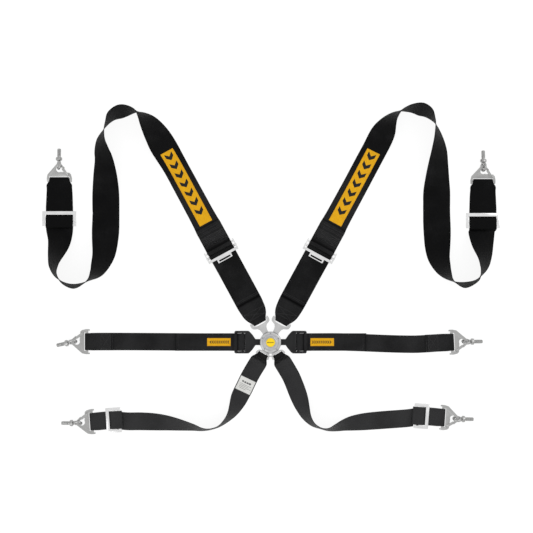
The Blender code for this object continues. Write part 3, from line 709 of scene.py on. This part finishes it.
def ringAt(rings, distance):
    # the strap's middle, its direction across and its normal, at this distance from its first ring
    low, high = 0, len(rings) - 1
    while high - low > 1:
        half = (low + high) // 2
        if rings[half][3] <= distance:
            low = half
        else:
            high = half
    a, b = rings[low], rings[high]
    t = 0 if b[3] == a[3] else min(1, max(0, (distance - a[3]) / (b[3] - a[3])))
    return a[0].lerp(b[0], t), a[1].lerp(b[1], t).normalized(), a[4].lerp(b[4], t).normalized()


def pointOn(rings, distance, across, lift):
    middle, sideways, normal = ringAt(rings, distance * mm)
    return middle + sideways * (across * mm) + normal * (lift * mm)


def addStitch(bm, start, end, up):
    # six-sided, with pointed ends that dip into the cloth
    radius = thread["radius"] * mm
    direction = (end - start).normalized()
    sideways = direction.cross(up).normalized()
    up = sideways.cross(direction)
    length = (end - start).length
    loops = []
    for share, size in ((0.12, 0.75), (0.5, 1.0), (0.88, 0.75)):
        arch = 0.25 * radius if share == 0.5 else 0
        middle = start + direction * (length * share) + up * arch
        loop = []
        for i in range(6):
            angle = math.pi * i / 3
            outward = sideways * math.cos(angle) + up * math.sin(angle)
            loop.append(bm.verts.new(middle + outward * radius * size))
        loops.append(loop)
    tips = [bm.verts.new(start - up * radius * 0.6), bm.verts.new(end - up * radius * 0.6)]
    for i in range(6):
        j = (i + 1) % 6
        bm.faces.new((tips[0], loops[0][j], loops[0][i]))
        bm.faces.new((loops[0][i], loops[0][j], loops[1][j], loops[1][i]))
        bm.faces.new((loops[1][i], loops[1][j], loops[2][j], loops[2][i]))
        bm.faces.new((loops[2][i], loops[2][j], tips[1]))


def stitchRows(rows, rings, lift):
    # (point, point, up) for each stitch of each row. A row is a list of corners, each (distance, across)
    stitches = []
    for row in rows:
        for (d0, a0), (d1, a1) in zip(row, row[1:]):
            count = max(1, round(math.hypot(d1 - d0, a1 - a0) / thread["pitch"]))
            for i in range(count):
                t0 = (i + thread["gap"]) / count
                t1 = (i + 1 - thread["gap"]) / count
                start = pointOn(rings, d0 + (d1 - d0) * t0, a0 + (a1 - a0) * t0, lift)
                end = pointOn(rings, d0 + (d1 - d0) * t1, a0 + (a1 - a0) * t1, lift)
                up = ringAt(rings, (d0 + d1) / 2 * mm)[2] * (1 if lift > 0 else -1)
                stitches.append((start, end, up))
    return stitches


def makeStitching(name, stitches, material, body):
    bm = bmesh.new()
    for start, end, up in stitches:
        addStitch(bm, start, end, up)
    bmesh.ops.recalc_face_normals(bm, faces=bm.faces)
    obj = newObject(name, bm, material, 50)
    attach(obj, body)


def nearest(rings, point, first=0.0, last=10.0):
    # distance in mm along the strap to its ring nearest this point
    reachable = [ring for ring in rings if first <= ring[3] <= last]
    return min(reachable, key=lambda ring: (ring[0] - point).length)[3] / mm


def boxCross(start, end, half):
    # a box with a cross in it, the usual load-bearing pattern
    return [
        [(start, -half), (end, -half), (end, half), (start, half), (start, -half)],
        [(start, -half), (end, half)],
        [(start, half), (end, -half)],
    ]


def flaredCross(start, end, half):
    # the same on webbing that widens away from its tongue
    far = half + sewn["flare"]
    return [
        [(start, -half), (end, -far), (end, far), (start, half), (start, -half)],
        [(start, -half), (end, far)],
        [(start, half), (end, -far)],
    ]


def zigzag(start, end, half, count):
    return [[(start + (end - start) * i / count, half if i % 2 else -half) for i in range(count + 1)]]


def hemRows(first, sign, half):
    # two rows across a strap, beside its cut end
    return [[(first + sign * d, -half), (first + sign * d, half)] for d in sewn["endHem"]]


def sewnTop(rings, rows):
    # the rows on whichever side of the strap faces up here
    middle = rows[0][0][0] * mm
    lift = ribbonShape["thick"] / 2 - thread["sink"]
    return stitchRows(rows, rings, lift if ringAt(rings, middle)[2].z > 0 else -lift)


def patchBorder(rings, width, inset=1.6):
    end = rings[-1][3] / mm
    half = width / 2 - inset
    row = [(inset, -half), (end - inset, -half), (end - inset, half), (inset, half), (inset, -half)]
    return stitchRows([row], rings, labelShape["lift"] + labelShape["thick"] / 2 - thread["sink"])


# Where each strap is sewn, as (near, far, half width) in mm from the buckle or from the strap's end fitting
sewn = {
    "adjusterBox": (318, 346, 33), "adjusterZigzags": 12,
    "adjusterBars": (352, 357, 362), "adjusterBarHalf": 34,
    "tongueBox": (78, 100, 24), "lapBox": (-72, -46, 20), "legBox": (53, 72, 16), "flare": 6,
    "endHem": (5, 9), "shoulderHemHalf": 35, "chestHemHalf": 34, "narrowHemHalf": 22,
}


def pointAt(place, x, z):
    return place @ Vector((x * mm, 0, z * mm))


def sewShoulder(side):
    chest = strapPlace(f"shoulder_{side}")
    obj, rings, _, _ = straps[f"shoulder_{side}"]
    near, far, half = sewn["adjusterBox"]
    start, end = nearest(rings, pointAt(chest, near, 4.5)), nearest(rings, pointAt(chest, far, 3.4))
    rows = boxCross(start, end, half) + zigzag(start, end, half, sewn["adjusterZigzags"])
    for x in sewn["adjusterBars"]:
        at, half = nearest(rings, pointAt(chest, x, 2)), sewn["adjusterBarHalf"]
        rows.append([(at, -half), (at, half)])
    labelEnd = nearest(rings, pointAt(chest, 372, 1))
    # painted shade: darkest from the slide round the curl and light by the label, with painted shadows at the
    # sewn box and at the label's end
    tones = [(0, 0.55), (labelEnd - 300, 0.5), (labelEnd - 60, 0.05), (start, 0.1)]
    paintedShadeZones(obj, rings, tones, [(start, 14, 3, 0.5), (start + 14, 12, 1, 0.75), (labelEnd, 6, 2, 0.45)])
    return sewnTop(rings, rows) + sewnTop(rings, hemRows(0, 1, sewn["shoulderHemHalf"]))


def sewChest(side):
    chest = strapPlace(f"shoulder_{side}")
    obj, rings, _, _ = straps[f"chest_{side}"]
    near, far, half = sewn["tongueBox"]
    start = nearest(rings, pointAt(chest, near, 6.5), 0.05)
    end = nearest(rings, pointAt(chest, far, 3.2), 0.05)
    step = nearest(rings, pointAt(chest, 129, 1), 0.05, 0.2)
    # painted shade: a little darker beyond the tail's cut end, with a painted shadow on the lower layer
    # beside that end
    paintedShadeZones(obj, rings, [(0, 0.1), (step, 0.1), (step + 150, 0.3)], [(step, 6, 5, 0.9)])
    hem = hemRows(rings[-1][3] / mm, -1, sewn["chestHemHalf"])
    return sewnTop(rings, flaredCross(start, end, half)) + sewnTop(rings, hem)


def sewLap(side):
    lap, end = strapPlace(f"lap_{side}"), endPlace(f"lap_{side}")
    obj, rings, _, _ = straps[f"lap_{side}"]
    near, far, half = sewn["lapBox"]
    last = rings[-1][3] / mm
    loopFrom = (last - 120) * mm
    first = nearest(rings, pointAt(end, near, 3.2), loopFrom)
    second = nearest(rings, pointAt(end, far, 4.2), loopFrom)
    hemHalf = sewn["narrowHemHalf"]
    rows = boxCross(first, second, half) + [[(last - 3, -hemHalf), (last - 3, hemHalf)]]
    nose, ramp = nearest(rings, pointAt(lap, 72.5, 6.5)), nearest(rings, pointAt(lap, 91.5, 10))
    # painted shade: painted shadows beside both cut ends and in the folds round the lock bar's nose and ramp
    zones = [(last - 2, 5, 2, 0.7), (3, 3, 4, 0.6)]
    zones += [(nose, 5, 5, 0.8), (ramp, 4, 4, 0.6), (ramp - 14, 5, 6, 0.35)]
    paintedShadeZones(obj, rings, [(0, 0), (last, 0.05)], zones)
    return sewnTop(rings, rows) + sewnTop(rings, hemRows(0, 1, hemHalf))


def sewLeg(side):
    leg = strapPlace(f"leg_{side}")
    obj, rings, _, _ = straps[f"leg_{side}"]
    near, far, half = sewn["legBox"]
    start = nearest(rings, pointAt(leg, near, 8.2), 0.02, 0.12)
    end = nearest(rings, pointAt(leg, far, 3.3), 0.02, 0.12)
    last = rings[-1][3] / mm
    # a negative amount makes the whole strap lighter; painted shadows beside the sewn box and the hem
    paintedShadeZones(obj, rings, [(0, -0.35), (last, -0.35)], [(start, 20, 10, 0.35), (last - 3, 6, 3, 0.6)])
    hem = hemRows(last, -1, sewn["narrowHemHalf"])
    return sewnTop(rings, flaredCross(start, end, half)) + sewnTop(rings, hem)


for side in sides:
    for kind, sew in (("shoulder", sewShoulder), ("chest", sewChest), ("lap", sewLap), ("leg", sewLeg)):
        body = f"shoulder_{side}_strap" if kind == "chest" else f"{kind}_{side}_strap"
        makeStitching(f"{kind}Stitching_{side}", sew(side), blackThread, body)
for name, (obj, rings, width, body, slotName) in patches.items():
    dye = whiteThread if slotName == "tag" else yellowThread
    makeStitching(f"{name}Border", patchBorder(rings, width), dye, body)
print("stitching made")
# Flat pressed and milled steel: each starts from its CAD solid, cleaned, with its edges broken


def onlySelected(obj):
    deselectAll()
    obj.select_set(True)
    bpy.context.view_layer.objects.active = obj


def edit(obj):
    onlySelected(obj)
    bpy.ops.object.mode_set(mode="EDIT")
    bpy.ops.mesh.select_all(action="SELECT")


def done():
    bpy.ops.object.mode_set(mode="OBJECT")
    return bpy.context.view_layer.objects.active


def applied(obj, kind, **values):
    # a modifier with these values, applied at once
    modifier = obj.modifiers.new(kind.lower(), kind)
    for key, value in values.items():
        setattr(modifier, key, value)
    onlySelected(obj)
    bpy.ops.object.modifier_apply(modifier=modifier.name)


def combined(obj, other, operation):
    applied(obj, "BOOLEAN", operation=operation, solver="EXACT", object=other)
    bpy.data.objects.remove(other, do_unlink=True)


def finishPiece(obj, name, material, body, nodes, bevel=0.0, segments=2, sharp=32):
    # places the piece in its mesh, breaks its edges and rides it on its body
    obj.name = obj.data.name = name
    obj.data.transform(obj.matrix_world)
    obj.matrix_world = Matrix.Identity(4)
    if bevel:
        corner = math.radians(35)  # an edge that turns less than this stays as it is
        applied(obj, "BEVEL", width=bevel * mm, segments=segments, limit_method="ANGLE", angle_limit=corner)
    obj.data.materials.clear()
    obj.data.materials.append(material)
    obj.data.shade_smooth()
    obj.data.set_sharp_from_angle(angle=math.radians(sharp))
    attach(obj, body)
    if nodes:
        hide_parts(*nodes)


def fromNode(node, name, material, body, bevel, segments=2):
    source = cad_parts[node]
    mesh = source.data.copy()
    mesh.transform(source.matrix_world)
    for attribute in [a for a in mesh.attributes if a.name == "custom_normal"]:
        mesh.attributes.remove(attribute)
    obj = bpy.data.objects.new(name, mesh)
    bpy.context.scene.collection.objects.link(obj)
    edit(obj)
    bpy.ops.mesh.remove_doubles(threshold=0.00002)
    bpy.ops.mesh.dissolve_limited(angle_limit=math.radians(0.6))
    done()
    finishPiece(obj, name, material, body, [node], bevel, segments)


for side in sides:
    strap = f"shoulder_{side}_strap"
    fromNode(f"shoulder_tongue_{side}", f"shoulderTongue_{side}", alloy, strap, 0.6, 3)
    fromNode(f"shoulder_adjuster_{side}", f"shoulderAdjuster_{side}", barSteel, strap, 0.55, 3)
    fromNode(f"shoulder_slide_{side}", f"shoulderSlide_{side}", barSteel, strap, 0.8, 3)
    strap = f"lap_{side}_strap"
    fromNode(f"lap_adjuster_{side}", f"lapAdjuster_{side}", blackSteel, strap, 0.5, 3)
    strap = f"leg_{side}_strap"
    fromNode(f"leg_tongue_{side}", f"legTongue_{side}", alloy, strap, 0.5, 3)
    fromNode(f"leg_slide_{side}", f"legSlide_{side}", barSteel, strap, 0.8, 3)
    for kind in ("shoulder", "lap", "leg"):
        key = f"{kind}_{side}"
        fromNode(f"anchor_plate_{key}", f"anchorPlate_{key}", zinc, f"{key}_strap", 0.5, 3)
        fromNode(f"hook_gate_{key}", f"hookGate_{key}", zinc, f"{key}_gate", 0.4, 2)
        fromNode(f"latch_pin_{key}", f"latchPin_{key}", springSteel, f"pin_{key}", 0.3, 2)
print("plates made")

# The buckle, turned and milled


def lathed(name, profile, segments=96):
    # a solid turned round Z from (radius, height) in mm, by spinning its half section
    mesh = bpy.data.meshes.new(name)
    points = [(radius * mm, 0, height * mm) for radius, height in profile]
    edges = [(i, i + 1) for i in range(len(points) - 1)]
    if profile[0][0] > 0:  # a section that starts off the axis is a ring, so it closes on itself
        edges.append((len(points) - 1, 0))
    mesh.from_pydata(points, edges, [])
    obj = bpy.data.objects.new(name, mesh)
    bpy.context.scene.collection.objects.link(obj)
    edit(obj)
    bpy.ops.mesh.spin(steps=segments, angle=2 * math.pi, center=(0, 0, 0), axis=(0, 0, 1), dupli=False)
    bpy.ops.mesh.select_all(action="SELECT")
    bpy.ops.mesh.remove_doubles(threshold=0.00002)
    bpy.ops.mesh.normals_make_consistent(inside=False)
    return done()


def cutAway(obj, cutters):
    for cutter in cutters:
        combined(obj, cutter, "DIFFERENCE")


def joined(pieces):
    deselectAll()
    for piece in pieces:
        piece.select_set(True)
    bpy.context.view_layer.objects.active = pieces[0]
    bpy.ops.object.join()
    return pieces[0]


def boxAt(x, y, z, place=None):
    # a block given as its (low, high) along each axis, in mm
    bpy.ops.mesh.primitive_cube_add(size=1)
    obj = bpy.context.active_object
    obj.scale = [(high - low) * mm for low, high in (x, y, z)]
    obj.location = [(high + low) / 2 * mm for low, high in (x, y, z)]
    bpy.ops.object.transform_apply(location=True, rotation=True, scale=True)
    if place is not None:
        obj.data.transform(place)
    return obj


def drillAt(radius, low, high, x, y, sides=32):
    # a cylinder along Z from low to high, in mm
    middle = (x * mm, y * mm, (low + high) / 2 * mm)
    depth = (high - low) * mm
    bpy.ops.mesh.primitive_cylinder_add(vertices=sides, radius=radius * mm, depth=depth, location=middle)
    obj = bpy.context.active_object
    bpy.ops.object.transform_apply(location=True, rotation=True, scale=True)
    return obj


buckle = {
    "housing": 30.0, "knob": 17.5, "lobes": 6, "lobeHeight": 0.05,
    "dimpleCircle": 25.2, "dimple": 1.95, "screw": 1.5, "dimpleAngles": (90, 25, 152, 227, 311),
    "scallops": 18, "scallopCircle": 14.1, "scallop": 0.8,
    # (rise, inset) in mm up the grip, over the crown and across to the badge's seat
    "knobSteps": (
        (3.0, 0), (0.8, 0.35), (0.4, 0.7), (0, 1.1), (-0.5, 0.35), (0, 0.6), (0.5, 0.35), (0.9, 0.9),
    ),
}


def dimplePlaces():
    circle = buckle["dimpleCircle"]
    angles = [math.radians(angle) for angle in buckle["dimpleAngles"]]
    return [(circle * math.cos(angle), circle * math.sin(angle)) for angle in angles]


def makeHousing():
    rim = buckle["housing"]
    profile = [
        (26.5, 3.3), (rim - 0.5, 3.3), (rim, 3.8), (rim, 16.6), (rim - 0.35, 17.5), (rim - 1.1, 18.6),
        (rim - 2.1, 19.5), (rim - 3.2, 20.0), (22.9, 20.0), (22.5, 19.7), (22.1, 19.3), (21.2, 19.3),
        (20.8, 19.7), (20.4, 20.0), (15.4, 20.0), (14.8, 19.4), (14.8, 16.0), (26.5, 16.0),
    ]
    obj = lathed("buckleHousing", profile)
    for angle in layout["angle"].values():
        cutAway(obj, [boxAt((20, 34), (-9.7, 9.7), (4.6, 8.4), placeAt(0, 0, angle))])
    cutAway(obj, [drillAt(buckle["dimple"], 19.1, 21, x, y) for x, y in dimplePlaces()])
    finishPiece(obj, "buckleHousing", alloy, "buckle", ["buckle_housing"], 0.25)
    # a socket screw sits in each dimple
    heads = []
    for x, y in dimplePlaces():
        head = drillAt(buckle["screw"], 18.4, 19.7, x, y)
        cutAway(head, [drillAt(0.75, 19.0, 20, x, y, 6)])
        heads.append(head)
    finishPiece(joined(heads), "housingScrews", darkSteel, "buckle", [], 0.12)


def makeKnob():
    # soft lobes, a stepped crown, fine scallops round it and a seat for the badge
    bpy.ops.mesh.primitive_circle_add(vertices=144, radius=1, fill_type="NGON")
    cap = bpy.context.active_object
    for vertex in cap.data.vertices:
        angle = math.atan2(vertex.co.y, vertex.co.x)
        radius = buckle["knob"] * (1 + buckle["lobeHeight"] * math.cos(buckle["lobes"] * angle)) * mm
        vertex.co = (radius * math.cos(angle), radius * math.sin(angle), 20.4 * mm)
    edit(cap)
    for rise, inset in buckle["knobSteps"]:
        bpy.ops.mesh.extrude_region_move(TRANSFORM_OT_translate={"value": (0, 0, rise * mm)})
        if inset:
            share = 1 - inset / 16
            bpy.ops.transform.resize(value=(share, share, 1), center_override=(0, 0, 0))
    bpy.ops.mesh.select_all(action="SELECT")
    bpy.ops.mesh.remove_doubles(threshold=0.00001)
    bpy.ops.mesh.normals_make_consistent(inside=False)
    done()
    cutters = [drillAt(12.7, 24.5, 27, 0, 0, 96)]
    circle = buckle["scallopCircle"]
    for i in range(buckle["scallops"]):
        angle = 2 * math.pi / buckle["scallops"] * (i + 0.5)
        x, y = circle * math.cos(angle), circle * math.sin(angle)
        cutters.append(drillAt(buckle["scallop"], 24.6, 27, x, y, 16))
    cutAway(cap, cutters)
    neck = lathed("neck", [(4.4, 13.4), (14.0, 13.4), (14.0, 20.6), (4.4, 20.6)], 64)
    finishPiece(joined([cap, neck]), "releaseKnob", alloy, "knob", ["release_knob"], 0.12, sharp=28)
    profile = [(0, 24.8), (11.9, 24.8), (12.2, 25.0), (12.3, 25.3), (12.1, 25.65), (11.4, 25.85), (0, 26.0)]
    finishPiece(lathed("face", profile), "knobBadge", badgePaint, "knob", ["knob_badge"])


def makeBase():
    # the back plate, and a slotted tab at its foot with two rounded corners
    plate = lathed("base", [(0, 0), (28.4, 0), (29, 0.6), (29, 2.5), (28.5, 3.0), (0, 3.0)])
    tab = boxAt((-13, 13), (-41.7, -22), (0, 2.6))
    weights = tab.data.attributes.new("bevel_weight_edge", "FLOAT", "EDGE")
    for edge in tab.data.edges:
        a, b = (tab.data.vertices[i].co for i in edge.vertices)
        upright = abs(a.y - b.y) < 0.1 * mm and abs(a.x - b.x) < 0.1 * mm
        weights.data[edge.index].value = 1 if upright and a.y < -41 * mm else 0
    applied(tab, "BEVEL", width=4 * mm, segments=6, limit_method="WEIGHT")
    cutAway(tab, [boxAt((-3.2, 3.2), (-38.5, -33), (-1, 5))])
    finishPiece(joined([plate, tab]), "buckleBase", alloy, "buckle", ["buckle_base"], 0.25)


darkSteel = makeMetal("darkSteel", "socket")
makeHousing()
makeKnob()
makeBase()
fromNode("pivot_bolt", "pivotBolt", springSteel, "buckle", 0.3)
fromNode("cam_disc", "camDisc", springSteel, "knob", 0.3)
print("buckle made")

# The eye bolts that the hooks hang on, and the lock bars and spring
bolt = {
    "eye": 10.2, "wire": 3.5, "collar": 8.9, "shank": 5.25, "end": 45.9, "threadFrom": 25.0, "pitch": 1.5,
    "depth": 0.45, "lean": 24.0, "pitchUp": 6.5,
    # the hook's plate: its foot (x, z) from the strap's end, its tilt, and how far along it the eye hangs
    "plateFoot": (-6.5, 4.2), "plateTilt": -13, "plateHole": 40.3,
    "yaw": {
        "shoulder_left": 0, "shoulder_right": 0, "lap_left": 13, "lap_right": -3,
        "leg_left": -3, "leg_right": 2,
    },
}


def makeBolt(key):
    # a forged eye on a turned collar, with a threaded shank behind it
    bpy.ops.mesh.primitive_torus_add(
        major_segments=64, minor_segments=24, major_radius=bolt["eye"] * mm, minor_radius=bolt["wire"] * mm
    )
    eye = bpy.context.active_object
    eye.data.transform(Matrix.Rotation(math.radians(90), 4, "X"))
    profile = [(0, 11.6), (5.4, 11.6), (6.6, 12.6), (8.2, 13.6)]
    profile += [(bolt["collar"], 14.6), (bolt["collar"], 19.6), (8.5, 20.4), (7.2, 21.6), (6.4, 21.9)]
    profile += [(4.7, 22.0), (4.7, bolt["threadFrom"] - 0.6)]
    at = bolt["threadFrom"]
    while at < bolt["end"] - 1.6:
        profile += [(bolt["shank"] - bolt["depth"], at), (bolt["shank"], at + 0.5), (bolt["shank"], at + 0.8)]
        at += bolt["pitch"]
    profile += [(bolt["shank"] - bolt["depth"], at), (4.9, at + 0.4), (4.1, bolt["end"]), (0, bolt["end"])]
    shank = lathed("shank", profile, 40)
    shank.data.transform(Matrix.Rotation(math.radians(90), 4, "Y"))
    combined(eye, shank, "UNION")
    x, y, angle = layout["end"][key]
    footX, footZ = bolt["plateFoot"]
    foot = placeAt(x * mm, y * mm, angle) @ Matrix.Translation((footX * mm, 0, footZ * mm))
    tilt = Matrix.Rotation(math.radians(bolt["plateTilt"]), 4, "Y")
    middle = foot @ tilt @ Vector((bolt["plateHole"] * mm, 0, 0))
    yaw = Matrix.Rotation(math.radians(angle + bolt["yaw"][key]), 4, "Z")
    pitch = Matrix.Rotation(math.radians(bolt["pitchUp"]), 4, "Y")
    lean = Matrix.Rotation(math.radians(bolt["lean"]), 4, "X")
    eye.data.transform(Matrix.Translation(middle) @ yaw @ pitch @ lean)
    finishPiece(eye, f"eyeBolt_{key}", zinc, f"{key}_bolt", [f"eye_bolt_{key}"], sharp=30)


def makeLockBar(name, node, place, spot, half, radius, material, body, grip):
    # a turned bar, knurled where the webbing bears on it and plain towards its ends
    x, z = spot
    profile = [(0, -half), (radius - 0.5, -half), (radius, -half + 0.5), (radius, -grip)]
    at = -grip
    while at < grip - 0.6:
        profile += [(radius - 0.2, at + 0.5), (radius, at + 1.0)]
        at += 1.0
    profile += [(radius, half - 0.5), (radius - 0.5, half), (0, half)]
    bar = lathed(name, profile, 40)
    across = Matrix.Rotation(math.radians(-90), 4, "X")
    bar.data.transform(place @ Matrix.Translation((x * mm, 0, z * mm)) @ across)
    finishPiece(bar, name, material, body, [node], sharp=40)


for side in sides:
    for kind in ("shoulder", "lap", "leg"):
        makeBolt(f"{kind}_{side}")
    makeLockBar(
        f"shoulderLockBar_{side}", f"shoulder_lock_bar_{side}", strapPlace(f"shoulder_{side}"),
        (287, 6), 47.5, 3.2, barSteel, f"shoulder_{side}_lock", 36,
    )
    makeLockBar(
        f"lapLockBar_{side}", f"lap_lock_bar_{side}", strapPlace(f"lap_{side}"),
        (77.5, 6.5), 31.2, 3.3, blackSteel, f"lap_{side}_lock", 23,
    )
coils = {"turns": 3.5, "stepsPerTurn": 36, "radius": 6.2, "wire": 0.5, "low": 5.5, "high": 8.5}


def makeSpring():
    # a round wire section swept up its coil
    bpy.ops.mesh.primitive_circle_add(vertices=12, radius=coils["wire"] * mm, fill_type="NGON")
    obj = bpy.context.active_object
    for vertex in obj.data.vertices:
        x, y = vertex.co.x, vertex.co.y
        vertex.co = (coils["radius"] * mm + x, 0, coils["low"] * mm + y)
    edit(obj)
    steps = int(coils["turns"] * coils["stepsPerTurn"])
    rise = (coils["high"] - coils["low"]) / steps * mm
    turn = Matrix.Rotation(2 * math.pi / coils["stepsPerTurn"], 4, "Z")
    for i in range(steps):
        bpy.ops.mesh.extrude_region_move(TRANSFORM_OT_translate={"value": (0, 0, rise)})
        bm = bmesh.from_edit_mesh(obj.data)
        for vertex in bm.verts:
            if vertex.select:
                vertex.co = turn @ vertex.co
        bmesh.update_edit_mesh(obj.data)
    bpy.ops.mesh.select_all(action="SELECT")
    bpy.ops.mesh.normals_make_consistent(inside=False)
    done()
    finishPiece(obj, "knobSpring", springSteel, "buckle", ["knob_spring"])


makeSpring()
print("steel pieces made")

# Studio: a pale floor, a white surround and large soft lights
studio = {"floor": 0.14, "glow": 0.9, "world": 0.86, "ceiling": 3.0, "side": 13.0}


def makeStudio():
    bpy.ops.mesh.primitive_plane_add(size=60, location=(0, 0.2, -0.0006))
    floor = bpy.context.active_object
    floor.name = "floor"
    material, tree, shader = newMaterial("palePaper", (studio["floor"],) * 3, 0.9)
    shader.inputs["Specular IOR Level"].default_value = 0.1
    shader.inputs["Emission Color"].default_value = (1, 1, 1, 1)
    shader.inputs["Emission Strength"].default_value = studio["glow"]
    place = addNode(tree, "ShaderNodeTexCoord").outputs["Object"]
    fibre = addNode(tree, "ShaderNodeTexNoise", {"Vector": place, "Scale": 9.0}).outputs["Fac"]
    low, high = (studio["floor"] - 0.01,) * 3, (studio["floor"] + 0.01,) * 3
    tree.links.new(twoColours(tree, fibre, low, high), shader.inputs["Base Color"])
    floor.data.materials.append(material)
    world = bpy.data.worlds.new("studio")
    world.use_nodes = True
    world.node_tree.nodes["Background"].inputs["Color"].default_value = (1, 1, 1, 1)
    world.node_tree.nodes["Background"].inputs["Strength"].default_value = studio["world"]
    bpy.context.scene.world = world
    lights = (
        ("ceiling", (0, 0.5, 2.6), (0, 0, 0), 2.6, studio["ceiling"]),
        ("frontLight", (-1.3, -1.5, 1.7), (48, 0, -40), 1.4, studio["side"]),
        ("sideLight", (1.9, 0.9, 1.6), (52, 0, 115), 1.4, studio["side"]),
    )
    for name, location, turn, size, power in lights:
        data = bpy.data.lights.new(name, "AREA")
        data.energy = power
        data.size = size
        obj = bpy.data.objects.new(name, data)
        obj.location = location
        obj.rotation_euler = [math.radians(a) for a in turn]
        bpy.context.scene.collection.objects.link(obj)
    bpy.context.scene.view_settings.view_transform = "Standard"


makeStudio()
print("studio ready")
